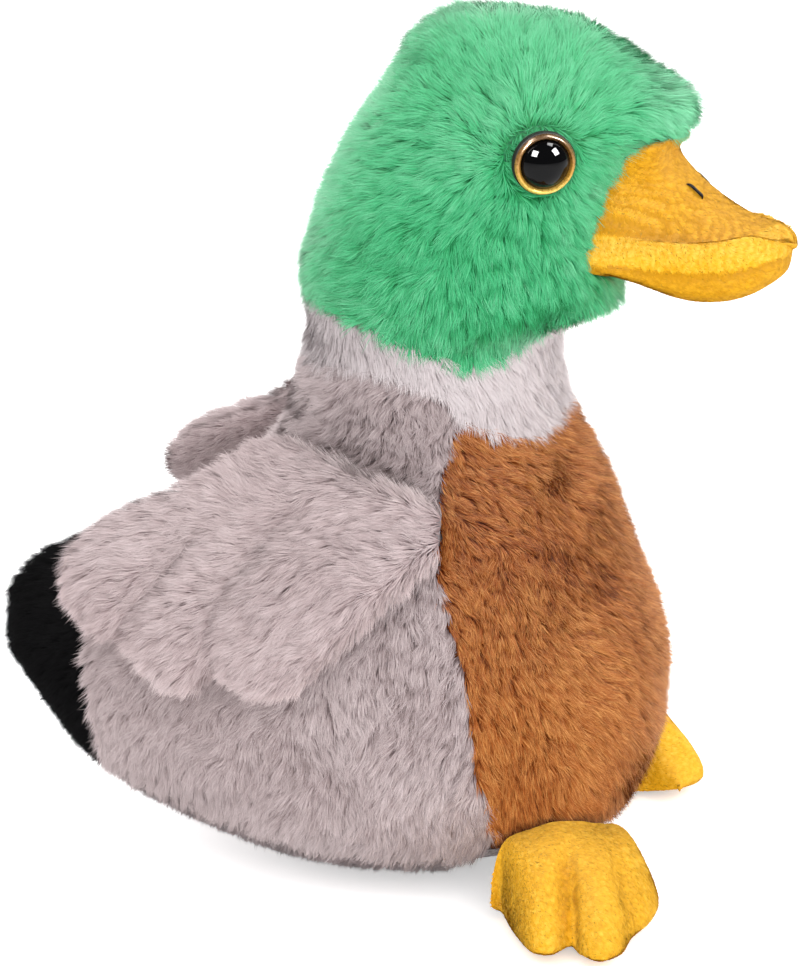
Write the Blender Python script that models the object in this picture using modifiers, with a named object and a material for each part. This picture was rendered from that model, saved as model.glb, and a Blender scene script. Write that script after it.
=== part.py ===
"""A sitting plush mallard, cut and sewn from pile fabric and stuffed.

Units are metres, +Z is up and the duck faces -Y. Its right side is -X. The origin is on the table,
under the middle of the duck's length. Every skin is a panel of fabric with its pile, as thick as the
fabric, and the panels meet at their seams with a thread's gap. The stuffing fills what they enclose.
"""

import math

import bmesh
import bpy
import numpy as np
from mathutils import Matrix, Vector

# Overall sizes, measured to the outside of the pile
NECK_HEIGHT = 0.110
HEAD_HEIGHT = 0.0646
CROWN_HEIGHT = NECK_HEIGHT + HEAD_HEIGHT
TAIL_LENGTH = 0.0815
BREAST_DEPTH = 0.058
BODY_WIDTH = 0.096
BROW_DEPTH = 0.0612
HEAD_WIDTH = 0.063
# Places on the head, forward as a share of BROW_DEPTH and up as a share of HEAD_HEIGHT
HEAD_CORE_SHARES = (0.2778, 0.4799)
EYE_SHARES = (0.5882, 0.6037)
BILL_SEAM_SHARE = 0.2554

# Fabric, gaps and stuffing
LONG_PILE_THICKNESS = 0.0035
SHORT_PILE_THICKNESS = 0.002
SEAM_GAP = 0.0003
STUFFING_CLEARANCE = 0.0012
HEAD_STUFFING_CLEARANCE = 0.0032
PELLET_BAG_HEIGHT = 0.0123

# Seams of the body
BELLY_SEAM_HEIGHT = 0.009
TAIL_SEAM_DEPTH = 0.0285
TAIL_SEAM_END = 0.0012
BREAST_SEAM_FRONT = 0.019
BREAST_SEAM_SWEEP = 0.012
COLLAR_WIDTH = 0.0105
COLLAR_SEAM_HEIGHT = NECK_HEIGHT - COLLAR_WIDTH
COLLAR_SEAM_TILT = 0.0050
NECK_SEAM_TILT = 0.0037
GUSSET_START_ANGLE = math.radians(-4)
GUSSET_POINT_ANGLE = math.radians(13)
GUSSET_FRONT_SPREAD = math.radians(19)
GUSSET_NAPE_HALF_WIDTH = 0.0095

# Bill
BILL_LENGTH = 0.0329
BILL_WIDTH = 0.029
BILL_DEPTH_ABOVE = 0.024
BILL_DEPTH_BELOW = 0.008
LIP_HEIGHT = 0.006
BILL_SEAT_GAP = 0.0012

# Nostril stitches, their middle at shares of BILL_LENGTH and of half BILL_WIDTH
STITCH_RADIUS = 0.0005
STITCH_LENGTH = 0.0042
STITCH_SHARES = (0.43, 0.31)

# Eyes
EYE_DIAMETER = 0.012
EYE_DOME_HEIGHT = 0.0038
EYE_BACK_THICKNESS = 0.0016
EYE_SEAT_DEPTH = 0.0018
EYE_SEAT_CLEARANCE = 0.0004
SHANK_DIAMETER = 0.0035
SHANK_LENGTH = 0.0085
WASHER_DIAMETER = 0.0095
WASHER_THICKNESS = 0.0014
WASHER_POCKET_CLEARANCE = 0.0005

# Wings
WING_ROOT_FRONT = 0.019
WING_ROOT_HEIGHT = 0.0830
WING_ROOT_DEPTH = 0.0055
WING_LENGTH = 0.0755
WING_HEIGHT = 0.046
WING_LOWEST_HEIGHT = 0.046
WING_STAND_OFF = 0.0044
# A place on the plane in which the wings lean in: shares of half BODY_WIDTH and of NECK_HEIGHT
WING_LEAN_SHARES = (0.5625, 0.8)
WING_LEAN = math.radians(29)
WING_OUTER_LOFT = 0.0062
WING_INNER_LOFT = 0.0030
WING_EDGE = 0.0017
WING_SKIN = 0.0015
WING_CREASE = 0.0022

# Feet
FOOT_ROOT_HEIGHT = 0.0095
FOOT_LENGTH = 0.032
FOOT_SPREAD = 0.0585
FOOT_BACK = 0.030
FOOT_LOFT = 0.0105
FOOT_SEAM_HEIGHT = 0.0036
FOOT_SKIN = 0.0016
FOOT_EDGE = 0.0018
TOE_CREASE = 0.0022

# Counts of facets
RING_COLUMNS = 24
SIDE_COLUMNS = 7
BREAST_COLUMNS = 8
TAIL_COLUMNS = 6
GUSSET_STATIONS = 14
GUSSET_COLUMNS = 4
NECK_SIDE_COLUMNS = SIDE_COLUMNS + (BREAST_COLUMNS - GUSSET_COLUMNS) // 2
HEAD_RINGS = 6
WING_ROWS = 6
FOOT_ROWS = 5
DOME_SEGMENTS = 20

# Each row gives a station of the hull from the table to the neck: its height as a share of
# NECK_HEIGHT, its back end of TAIL_LENGTH, its front end of BREAST_DEPTH, its half width of half
# BODY_WIDTH and where it is widest, as a share of BREAST_DEPTH.
BODY_STATION_SHARES = (
    (0.000, 0.215, 0.480, 0.32, 0.03),
    (0.027, 0.330, 0.650, 0.55, 0.03),
    (0.073, 0.505, 0.790, 0.73, 0.03),
    (0.130, 0.695, 0.895, 0.845, 0.03),
    (0.200, 0.825, 0.960, 0.93, 0.03),
    (0.290, 0.920, 1.000, 0.985, 0.03),
    (0.380, 0.990, 1.000, 1.00, 0.03),
    (0.450, 0.985, 0.980, 0.99, 0.04),
    (0.515, 0.930, 0.940, 0.96, 0.05),
    (0.573, 0.775, 0.900, 0.92, 0.07),
    (0.630, 0.555, 0.865, 0.865, 0.09),
    (0.692, 0.405, 0.825, 0.79, 0.11),
    (0.765, 0.315, 0.765, 0.70, 0.14),
    (0.836, 0.255, 0.690, 0.62, 0.16),
    (0.918, 0.220, 0.635, 0.56, 0.17),
    (1.000, 0.200, 0.630, 0.54, 0.19),
)
# The head's stations follow: the height above the neck as a share of HEAD_HEIGHT, the back end of
# HEAD_WIDTH, the front end of BROW_DEPTH, the half width of half HEAD_WIDTH and where it is widest, as
# a share of BROW_DEPTH.
HEAD_STATION_SHARES = (
    (0.120, 0.270, 0.790, 0.90, 0.24),
    (0.220, 0.270, 0.800, 0.96, 0.26),
    (0.340, 0.225, 0.785, 0.995, 0.28),
    (0.460, 0.185, 0.800, 1.00, 0.28),
    (0.570, 0.130, 0.880, 0.985, 0.28),
    (0.660, 0.080, 0.995, 0.935, 0.29),
    (0.740, 0.020, 1.000, 0.85, 0.30),
    (0.820, -0.025, 0.885, 0.745, 0.32),
    (0.900, -0.070, 0.760, 0.60, 0.33),
    (0.960, -0.135, 0.635, 0.40, 0.33),
    (1.000, -0.280, 0.330, 0.0, 0.31),
)
# How square the hull's plan is behind and before its widest place: 2 is an ellipse, less is more
# pointed. The heights are shares of NECK_HEIGHT, then of HEAD_HEIGHT above the neck.
BODY_POWER_SHARES = (
    (0.00, 2.1, 2.1),
    (0.238, 1.9, 2.2),
    (0.476, 1.75, 2.2),
    (0.635, 1.70, 2.1),
    (0.794, 1.95, 2.1),
    (0.952, 2.1, 2.1),
)
HEAD_POWER_SHARES = (
    (0.405, 2.1, 2.0),
    (0.676, 2.1, 1.75),
    (1.00, 2.0, 2.0),
)

# The wing's outline from the end of its top edge round the lobes to the end of its bottom edge: how
# far back from the root, as a share of WING_LENGTH, and how high, as a share of WING_HEIGHT.
WING_OUTLINE_SHARES = (
    (0.390, 0.980),
    (0.520, 0.970),
    (0.590, 0.895),
    (0.670, 0.800),
    (0.760, 0.735),
    (0.870, 0.665),
    (0.942, 0.585),
    (1.000, 0.465),
    (0.990, 0.357),
    (0.947, 0.276),
    (0.891, 0.193),
    (0.830, 0.205),
    (0.776, 0.142),
    (0.706, 0.044),
    (0.631, 0.018),
    (0.596, 0.063),
    (0.567, 0.138),
    (0.507, 0.080),
    (0.428, 0.042),
    (0.365, 0.081),
    (0.308, 0.162),
)
# The columns of the wing bend on their way from its root to its outline. Each row gives a place along
# the outline, then how far back and how far up or down the bend is, as shares of that way.
WING_BEND_SHARES = (
    (0.00, 0.80, 1.35),
    (0.05, 0.80, 1.00),
    (0.25, 0.80, 0.75),
    (0.45, 0.80, 0.35),
    (0.80, 0.80, 0.25),
    (1.00, 0.50, 0.50),
)
# Where along the outline the two creases between the lobes end, as shares of its count of points
WING_CREASE_SHARES = (0.545, 0.80)
# The foot's outline from its back edge round the toes to its front edge: forward from FOOT_BACK as a
# share of FOOT_LENGTH, and out from the middle of the duck as a share of FOOT_SPREAD.
FOOT_OUTLINE_SHARES = (
    (0.00, 0.61),
    (0.12, 0.74),
    (0.25, 0.87),
    (0.36, 0.955),
    (0.47, 0.955),
    (0.545, 0.875),
    (0.63, 0.945),
    (0.77, 1.00),
    (0.88, 0.92),
    (0.905, 0.785),
    (0.985, 0.65),
    (1.00, 0.50),
    (0.935, 0.415),
    (0.81, 0.30),
)
TOE_CREASE_SHARES = (0.40, 0.70)
# The foot is sewn to the belly seam between these turns from straight ahead.
FOOT_ROOT_BACK_TURN = math.radians(53)
FOOT_ROOT_FRONT_TURN = math.radians(13)

# The bill's stations from its base to near its tip: the share of BILL_LENGTH, then the ridge's height
# as a share of BILL_DEPTH_ABOVE, the half width of half BILL_WIDTH, the lip's height above its own
# seam as a share of LIP_HEIGHT, the seam's rise as a share of LIP_HEIGHT and the belly's depth as a
# share of BILL_DEPTH_BELOW.
BILL_STATION_SHARES = (
    (0.00, 0.87, 1.00, 0.85, 0.10, 0.70),
    (0.25, 0.83, 0.97, 1.00, -0.05, 0.90),
    (0.42, 0.64, 0.95, 1.08, -0.12, 0.95),
    (0.60, 0.47, 0.93, 1.08, 0.00, 0.98),
    (0.76, 0.34, 0.84, 1.05, 0.16, 0.90),
    (0.90, 0.27, 0.62, 0.90, 0.30, 0.70),
    (0.975, 0.19, 0.32, 0.66, 0.32, 0.40),
)
# The bill's section from the seam up over the lip to the ridge: out as a share of the half width,
# then up as a share of the lip's top and of the ridge's rise above the lip.
BILL_UPPER_SHARES = (
    (0.955, 0.0, 0.0),
    (1.00, 0.45, 0.0),
    (0.93, 0.95, 0.0),
    (0.78, 0.88, 0.06),
    (0.58, 0.75, 0.40),
    (0.32, 0.60, 0.82),
    (0.00, 0.55, 1.0),
)
BILL_LOWER_SHARES = ((0.955, 0.0), (0.82, 0.52), (0.48, 0.88), (0.00, 1.0))

# Materials: colour, roughness
FINISHES = {
    "green_pile": ((0.085, 0.48, 0.22), 0.9),
    "white_pile": ((0.78, 0.75, 0.77), 0.9),
    "grey_pile": ((0.48, 0.43, 0.44), 0.9),
    "brown_pile": ((0.38, 0.13, 0.03), 0.9),
    "pale_pile": ((0.62, 0.56, 0.57), 0.9),
    "black_pile": ((0.004, 0.004, 0.005), 0.9),
    "yellow_pile": ((0.85, 0.48, 0.03), 0.85),
    "polyester_fill": ((0.85, 0.85, 0.84), 0.95),
    "pellet_bag_cloth": ((0.70, 0.69, 0.66), 0.9),
    "eye_clear": ((0.02, 0.02, 0.02), 0.05),
    "eye_gold": ((0.42, 0.22, 0.03), 0.3),
    "washer_plastic": ((0.75, 0.75, 0.74), 0.5),
    "black_thread": ((0.01, 0.008, 0.008), 0.6),
}


def clear_scene():
    for old in list(bpy.data.objects):
        bpy.data.objects.remove(old, do_unlink=True)


def collection(name):
    group = bpy.data.collections.new(name)
    bpy.context.scene.collection.children.link(group)
    return group


def finish(name):
    """The Principled material of that name, made once."""
    made = bpy.data.materials.get(name)
    if made:
        return made
    color, roughness = FINISHES[name]
    made = bpy.data.materials.new(name)
    made.use_nodes = True
    shader = made.node_tree.nodes["Principled BSDF"]
    shader.inputs["Base Color"].default_value = (*color, 1.0)
    shader.inputs["Roughness"].default_value = roughness
    shader.inputs["Metallic"].default_value = 0.0
    return made


def smooth_through(stations, values, where):
    """A smooth curve through values at the stations that never overshoots them, read at where."""
    x, y = np.asarray(stations, float), np.asarray(values, float)
    step, rise = np.diff(x), np.diff(y)
    slope = rise / step
    tangent = np.zeros_like(y)
    both = slope[:-1] * slope[1:] > 0
    before, after = 2 * step[1:] + step[:-1], step[1:] + 2 * step[:-1]
    inner = np.where(both, slope[:-1], 1.0), np.where(both, slope[1:], 1.0)
    blended = (before + after) / (before / inner[0] + after / inner[1])
    tangent[1:-1] = np.where(both, blended, 0.0)
    tangent[0], tangent[-1] = slope[0], slope[-1]
    w = np.clip(np.asarray(where, float), x[0], x[-1])
    i = np.clip(np.searchsorted(x, w, side="right") - 1, 0, len(step) - 1)
    t = (w - x[i]) / step[i]
    keep, move = (1 + 2 * t) * (1 - t) ** 2, t * t * (3 - 2 * t)
    lead, trail = t * (1 - t) ** 2, t * t * (t - 1)
    bend = step[i] * (lead * tangent[i] + trail * tangent[i + 1])
    return keep * y[i] + move * y[i + 1] + bend


def hull_stations():
    """Rows of height, back end, front end, half width and widest place, in metres."""
    rows = []
    for height, back, front, half, mid in BODY_STATION_SHARES:
        rows.append((
            height * NECK_HEIGHT, -back * TAIL_LENGTH, front * BREAST_DEPTH,
            half * BODY_WIDTH / 2, mid * BREAST_DEPTH,
        ))
    for height, back, front, half, mid in HEAD_STATION_SHARES:
        rows.append((
            NECK_HEIGHT + height * HEAD_HEIGHT, -back * HEAD_WIDTH,
            front * BROW_DEPTH, half * HEAD_WIDTH / 2, mid * BROW_DEPTH,
        ))
    return np.array(rows)


def plan_powers():
    """Rows of height in metres and the powers of the plan's back and front."""
    rows = [(height * NECK_HEIGHT, back, front) for height, back, front in BODY_POWER_SHARES]
    for height, back, front in HEAD_POWER_SHARES:
        rows.append((NECK_HEIGHT + height * HEAD_HEIGHT, back, front))
    return np.array(rows)


def on_head(front_share, height_share):
    """A place in the middle plane of the head, from its shares."""
    return np.array((0.0, front_share * BROW_DEPTH, NECK_HEIGHT + height_share * HEAD_HEIGHT))


STATIONS = hull_stations()
PLAN_POWERS = plan_powers()
CORE = on_head(*HEAD_CORE_SHARES)
BILL_SEAM_HEIGHT = float(on_head(0.0, BILL_SEAM_SHARE)[2])


def hull_plan(height):
    """The hull's plan at a height: widest place, back reach, front reach, half width and powers."""
    z = STATIONS[:, 0]
    mid = smooth_through(z, STATIONS[:, 4], height)
    squares = (
        (STATIONS[:, 4] - STATIONS[:, 1]) ** 2,
        (STATIONS[:, 2] - STATIONS[:, 4]) ** 2,
        STATIONS[:, 3] ** 2,
    )
    sizes = [np.sqrt(np.maximum(smooth_through(z, s, height), 0.0)) for s in squares]
    powers = [smooth_through(PLAN_POWERS[:, 0], PLAN_POWERS[:, k], height) for k in (1, 2)]
    return mid, sizes[0], sizes[1], sizes[2], powers[0], powers[1]


def hull_point(height, turn):
    """A point of the hull, as (side, front, height). Turn is 0 straight ahead, half a turn behind."""
    height, turn = np.broadcast_arrays(np.asarray(height, float), np.asarray(turn, float))
    mid, back, front, half, back_power, front_power = hull_plan(height)
    ahead = np.cos(turn) >= 0
    reach = np.where(ahead, front, back)
    share = 2 / np.where(ahead, front_power, back_power)
    forward = np.sign(np.cos(turn)) * np.abs(np.cos(turn)) ** share * reach
    side = np.sign(np.sin(turn)) * np.abs(np.sin(turn)) ** share * half
    return np.stack([side, mid + forward, height], -1)


def hull_measure(points):
    """Below 1 inside the hull, above 1 outside it."""
    p = np.asarray(points, float)
    mid, back, front, half, back_power, front_power = hull_plan(p[..., 2])
    tiny = CROWN_HEIGHT * 1e-6
    ahead = p[..., 1] >= mid
    reach = np.maximum(np.where(ahead, front, back), tiny)
    power = np.where(ahead, front_power, back_power)
    side = np.abs(p[..., 0]) / np.maximum(half, tiny)
    along = np.abs(p[..., 1] - mid) / reach
    measure = np.minimum(side, 1e3) ** power + np.minimum(along, 1e3) ** power
    beyond = np.maximum(p[..., 2] - CROWN_HEIGHT, 0.0) + np.maximum(-p[..., 2], 0.0)
    return measure + beyond / tiny


def hull_normal(points):
    """The outward direction at points of the hull."""
    p = np.asarray(points, float)
    step = CROWN_HEIGHT * 1e-4
    margin = CROWN_HEIGHT * 2e-4
    inside = np.array(p)
    inside[..., 2] = np.clip(p[..., 2], margin, CROWN_HEIGHT - margin)
    parts = []
    for k in range(3):
        d = np.zeros(3)
        d[k] = step
        parts.append(hull_measure(inside + d) - hull_measure(inside - d))
    n = np.stack(parts, -1)
    return n / np.maximum(np.linalg.norm(n, axis=-1, keepdims=True), 1e-12)


def cast_from_core(directions):
    """Where rays from the middle of the head meet the hull."""
    d = np.asarray(directions, float)
    d = d / np.linalg.norm(d, axis=-1, keepdims=True)
    low = np.zeros(d.shape[:-1])
    high = np.full(d.shape[:-1], CROWN_HEIGHT)
    for _ in range(40):
        middle = (low + high) / 2
        outside = hull_measure(CORE + middle[..., None] * d) > 1
        high = np.where(outside, middle, high)
        low = np.where(outside, low, middle)
    return CORE + low[..., None] * d


def height_where(back_reach, low, high):
    """The height between low and high at which the hull's back end reaches back_reach."""
    inside_at_low = -hull_point(low, math.pi)[1] > back_reach
    for _ in range(50):
        middle = (low + high) / 2
        inside = -hull_point(middle, math.pi)[1] > back_reach
        if inside == inside_at_low:
            low = middle
        else:
            high = middle
    return (low + high) / 2


def turn_at_front(height, front):
    """The turn at which the hull's ring at a height passes the plane at that distance forward."""
    mid, back, ahead, half, back_power, front_power = hull_plan(height)
    share = np.clip((front - mid) / np.where(front >= mid, ahead, back), -1, 1)
    power = np.where(front >= mid, front_power, back_power)
    return np.arccos(np.sign(share) * np.abs(share) ** (power / 2))


def inward(points, depth, floor=0.0):
    """Points moved into the hull by depth along its normals, and no lower than floor."""
    moved = points - hull_normal(points) * depth
    moved[..., 2] = np.maximum(moved[..., 2], floor)
    return moved


def toward_core(points, depth):
    """Points of the head moved towards its middle by depth."""
    ray = points - CORE
    return points - ray / np.linalg.norm(ray, axis=-1, keepdims=True) * depth


def world(points):
    """(side, front, height) as (x, y, z): the front is -Y and a positive side is +X."""
    p = np.asarray(points, float)
    return np.stack([p[..., 0], -p[..., 1], p[..., 2]], -1)


def pull_edge(grid, neighbour, gap):
    """An edge row moved towards its neighbour row by half a seam gap."""
    away = neighbour - grid
    length = np.maximum(np.linalg.norm(away, axis=-1, keepdims=True), gap)
    return grid + away * np.minimum(gap / 2 / length, 0.4)


def with_gaps(grid, rows=(True, True), columns=(True, True), gap=SEAM_GAP):
    """A grid of points whose stated edges draw back from their seams."""
    g = np.array(grid)
    if rows[0]:
        g[0] = pull_edge(g[0], g[1], gap)
    if rows[1]:
        g[-1] = pull_edge(g[-1], g[-2], gap)
    if columns[0]:
        g[:, 0] = pull_edge(g[:, 0], g[:, 1], gap)
    if columns[1]:
        g[:, -1] = pull_edge(g[:, -1], g[:, -2], gap)
    return g


def new_object(name, mesh, group, material):
    shape = bpy.data.objects.new(name, mesh)
    group.objects.link(shape)
    mesh.materials.append(finish(material))
    return shape


def hinge(name, ends, group):
    """An empty in the middle of a hinge, its Z along the hinge from its first end to its last."""
    first, last = (Vector(end) for end in world(np.array(ends)))
    pivot = bpy.data.objects.new(name, None)
    group.objects.link(pivot)
    turn = (last - first).to_track_quat("Z", "Y").to_matrix().to_4x4()
    pivot.matrix_world = Matrix.Translation((first + last) / 2) @ turn
    return pivot


def hang(shape, pivot):
    """The shape turns with the pivot and stays where it is."""
    shape.parent = pivot
    shape.matrix_parent_inverse = pivot.matrix_world.inverted()


def closed_mesh(name, points, faces):
    """A closed smooth mesh of points in (side, front, height) whose faces are turned to face out."""
    mesh = bpy.data.meshes.new(name)
    mesh.from_pydata([tuple(p) for p in world(np.asarray(points))], [], faces)
    work = bmesh.new()
    work.from_mesh(mesh)
    bmesh.ops.triangulate(work, faces=work.faces)
    bmesh.ops.recalc_face_normals(work, faces=work.faces)
    if work.calc_volume(signed=True) < 0:
        bmesh.ops.reverse_faces(work, faces=work.faces)
    work.to_mesh(mesh)
    work.free()
    mesh.shade_smooth()
    return mesh


def thick_patch(name, outer, inner, group, material, round_it=False):
    """A panel between two grids of points, with walls at its edges.

    round_it joins the last column to the first. A grid whose last row is one point repeated closes
    there.
    """
    rows, columns = outer.shape[:2]
    pole = float(np.ptp(outer[-1], axis=0).max()) == 0.0
    used_rows = rows - 1 if pole else rows
    count = used_rows * columns
    points = list(outer[:used_rows].reshape(-1, 3)) + list(inner[:used_rows].reshape(-1, 3))
    faces = []
    last = columns if round_it else columns - 1

    def at(layer, i, j):
        return layer * count + i * columns + j % columns

    for layer in (0, 1):
        for i in range(used_rows - 1):
            for j in range(last):
                quad = (at(layer, i, j), at(layer, i, j + 1), at(layer, i + 1, j + 1), at(layer, i + 1, j))
                faces.append(quad if layer == 0 else quad[::-1])
    edges = [(0, True)] if pole else [(0, True), (used_rows - 1, False)]
    for i, forward in edges:
        for j in range(last):
            quad = (at(0, i, j), at(1, i, j), at(1, i, j + 1), at(0, i, j + 1))
            faces.append(quad if forward else quad[::-1])
    if pole:
        tips = (len(points), len(points) + 1)
        points += [outer[-1, 0], inner[-1, 0]]
        for layer in (0, 1):
            for j in range(last):
                fan = (at(layer, used_rows - 1, j), at(layer, used_rows - 1, j + 1), tips[layer])
                faces.append(fan if layer == 0 else fan[::-1])
    if not round_it:
        for j, forward in ((0, False), (columns - 1, True)):
            for i in range(used_rows - 1):
                quad = (at(0, i, j), at(1, i, j), at(1, i + 1, j), at(0, i + 1, j))
                faces.append(quad if forward else quad[::-1])
            if pole:
                i = used_rows - 1
                faces.append((at(0, i, j), at(1, i, j), tips[1], tips[0]))
    return new_object(name, closed_mesh(name, points, faces), group, material)


def stack_of_rings(name, rings, group, material):
    """A closed solid through rings of points, with a flat lid on its first and last ring."""
    count, columns = rings.shape[:2]
    points = list(rings.reshape(-1, 3))
    faces = []
    for i in range(count - 1):
        for j in range(columns):
            k = (j + 1) % columns
            faces.append((i * columns + j, i * columns + k, (i + 1) * columns + k, (i + 1) * columns + j))
    faces.append(tuple(range(columns))[::-1])
    faces.append(tuple((count - 1) * columns + j for j in range(columns)))
    return new_object(name, closed_mesh(name, points, faces), group, material)


def subtract(target, cutter):
    """An exact Boolean cut, left on the object."""
    cut = target.modifiers.new("cut_" + cutter.name, "BOOLEAN")
    cut.operation = "DIFFERENCE"
    cut.solver = "EXACT"
    cut.object = cutter


def mark_cutter(shape):
    shape.hide_render = True
    shape.display_type = "WIRE"
    return shape


def collar_row(height, turns):
    """Heights round the hull for a row that tilts towards the breast near the collar."""
    start = STATIONS[12, 0]
    lift = np.clip((height - start) / (COLLAR_SEAM_HEIGHT - start), 0, 1)
    return height - lift * COLLAR_SEAM_TILT * np.cos(turns)


def neck_row(turns):
    return NECK_HEIGHT - NECK_SEAM_TILT * np.cos(turns)


def body_rows():
    """The heights of the body panels' rows: belly seam, tail, shoulder and collar seam."""
    widest = STATIONS[6, 0]
    tail_low = height_where(TAIL_LENGTH - TAIL_SEAM_DEPTH, 0.0, widest)
    tail_high = height_where(TAIL_LENGTH - TAIL_SEAM_DEPTH, widest, COLLAR_SEAM_HEIGHT)
    ease = (1 - np.cos(np.linspace(0, math.pi, 9))) / 2
    tail = tail_low + (tail_high - tail_low) * ease
    above = np.linspace(tail_high + TAIL_SEAM_END, COLLAR_SEAM_HEIGHT, 5)
    below = [BELLY_SEAM_HEIGHT, tail_low - TAIL_SEAM_END]
    return np.concatenate([below, tail, above]), tail


def breast_turn(heights):
    """The turn of the seam between breast and side, which sweeps forward towards the feet."""
    fall = np.clip(1 - heights / (COLLAR_SEAM_HEIGHT * 0.7), 0, 1)
    return turn_at_front(heights, BREAST_SEAM_FRONT + BREAST_SEAM_SWEEP * fall ** 1.5)


def tail_turn(heights):
    """The turn of the tail's seam, short of the middle at its two ends."""
    seam = TAIL_LENGTH - TAIL_SEAM_DEPTH
    turn = turn_at_front(heights, np.full_like(heights, -seam))
    return np.minimum(turn, math.pi - TAIL_SEAM_END / seam)


def body_panel(name, heights, left, right, columns, group, material, edges, side=1):
    """A panel of the hull between two turns at every row."""
    share = np.linspace(0, 1, columns + 1)
    turns = left[:, None] + (right - left)[:, None] * share
    rows = collar_row(heights[:, None], turns)
    outer = hull_point(rows, turns)
    inner = inward(outer, LONG_PILE_THICKNESS)
    outer, inner = with_gaps(outer, *edges), with_gaps(inner, *edges)
    flip = np.array((side, 1.0, 1.0))
    return thick_patch(name, outer * flip, inner * flip, group, material)


def make_body_skins(group):
    rows, tail = body_rows()
    seam = breast_turn(rows)
    body_panel(
        "breast_panel", rows, -seam, seam, BREAST_COLUMNS, group, "brown_pile",
        ((True, True), (True, True)),
    )
    behind = np.full_like(rows, math.pi)
    among_tail = (rows >= tail[0]) & (rows <= tail[-1])
    behind[among_tail] = tail_turn(rows[among_tail])
    for word, side in (("right", -1), ("left", 1)):
        body_panel(
            word + "_side_panel", rows, seam, behind, SIDE_COLUMNS, group, "grey_pile",
            ((True, True), (True, True)), side,
        )
    edge = tail_turn(tail)
    body_panel(
        "tail_panel", tail, edge, 2 * math.pi - edge, TAIL_COLUMNS, group, "black_pile",
        ((True, True), (True, True)),
    )


def all_round(half):
    """Turns from straight ahead to straight behind, and on round the other side."""
    return np.concatenate([half, 2 * math.pi - half[-2:0:-1]])


def body_ring(height):
    """The turns at which the panels above the belly and below the collar have their edges."""
    seam = float(breast_turn(np.array(height)))
    front = np.linspace(0, seam, BREAST_COLUMNS // 2 + 1)
    behind = seam + (math.pi - seam) * np.linspace(0, 1, SIDE_COLUMNS + 1)
    return all_round(np.concatenate([front, behind[1:]]))


def neck_ring():
    """The turns at which the head's panels have their edges at the neck."""
    nape_turn = gusset_seam()[2]
    sides = np.linspace(0, math.pi - nape_turn, NECK_SIDE_COLUMNS + 1)
    nape = math.pi - nape_turn * np.linspace(1, 0, GUSSET_COLUMNS // 2 + 1)
    return all_round(np.concatenate([sides, nape[1:]]))


def make_belly(group):
    """The base panel: a shallow bowl, flat where it rests on the table."""
    turns = body_ring(BELLY_SEAM_HEIGHT)
    share = np.array((1.0, 0.62, 0.28, 0.0))
    heights = np.broadcast_to((share * BELLY_SEAM_HEIGHT)[:, None], (len(share), len(turns)))
    outer = hull_point(heights, turns[None])
    inner = inward(outer, LONG_PILE_THICKNESS, LONG_PILE_THICKNESS)
    lift = np.array((0, 0, 1.0))
    inner[-1] = outer[-1] * (1 - LONG_PILE_THICKNESS / BREAST_DEPTH) + lift * LONG_PILE_THICKNESS
    outer, inner = (with_gaps(g, (True, False), (False, False)) for g in (outer, inner))
    middle = np.zeros((1, len(turns), 3))
    outer = np.concatenate([outer, middle])
    inner = np.concatenate([inner, middle + lift * LONG_PILE_THICKNESS])
    thick_patch("belly_panel", outer, inner, group, "pale_pile", round_it=True)


def make_collar(group):
    low_turns, high_turns = body_ring(COLLAR_SEAM_HEIGHT), neck_ring()
    turns = np.stack([low_turns, (low_turns + high_turns) / 2, high_turns])
    low, high = collar_row(COLLAR_SEAM_HEIGHT, low_turns), neck_row(high_turns)
    outer = hull_point(np.stack([low, (low + high) / 2, high]), turns)
    inner = inward(outer, LONG_PILE_THICKNESS)
    outer, inner = (with_gaps(g, (True, True), (False, False)) for g in (outer, inner))
    thick_patch("collar", outer, inner, group, "white_pile", round_it=True)


def make_body_fill(group):
    """The pellet bag in the base and the loose fill above it, up to the neck."""
    turns = np.linspace(0, 2 * math.pi, RING_COLUMNS, endpoint=False)
    depth = LONG_PILE_THICKNESS + STUFFING_CLEARANCE
    bag_top = depth + PELLET_BAG_HEIGHT
    bag_heights = np.linspace(depth, bag_top, 5)
    fill_heights = np.linspace(bag_top + SEAM_GAP, NECK_HEIGHT - SEAM_GAP, 14)
    stacks = (("base_pellet_bag", bag_heights, "pellet_bag_cloth"),
              ("body_stuffing", fill_heights, "polyester_fill"))
    for name, heights, material in stacks:
        stack_of_rings(name, flat_rings(heights, turns, depth), group, material)


def flat_rings(heights, turns, depth):
    """Level rings at the heights, depth inside the hull."""
    fine = np.linspace(0, CROWN_HEIGHT, 240)[1:-1]
    skin = hull_point(fine[:, None], turns[None])
    moved = skin - hull_normal(skin) * depth
    rings = np.empty((len(heights), len(turns), 3))
    for j in range(len(turns)):
        column = moved[:, j]
        order = np.argsort(column[:, 2])
        column = column[order]
        for k in (0, 1):
            rings[:, j, k] = np.interp(heights, column[:, 2], column[:, k])
    rings[..., 2] = heights[:, None]
    return rings


def head_direction(angle, spread):
    """A direction from the middle of the head: angle up from straight ahead, spread to the side."""
    flat = np.cos(spread)
    return np.stack([np.sin(spread), flat * np.cos(angle), flat * np.sin(angle)], -1)


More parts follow.
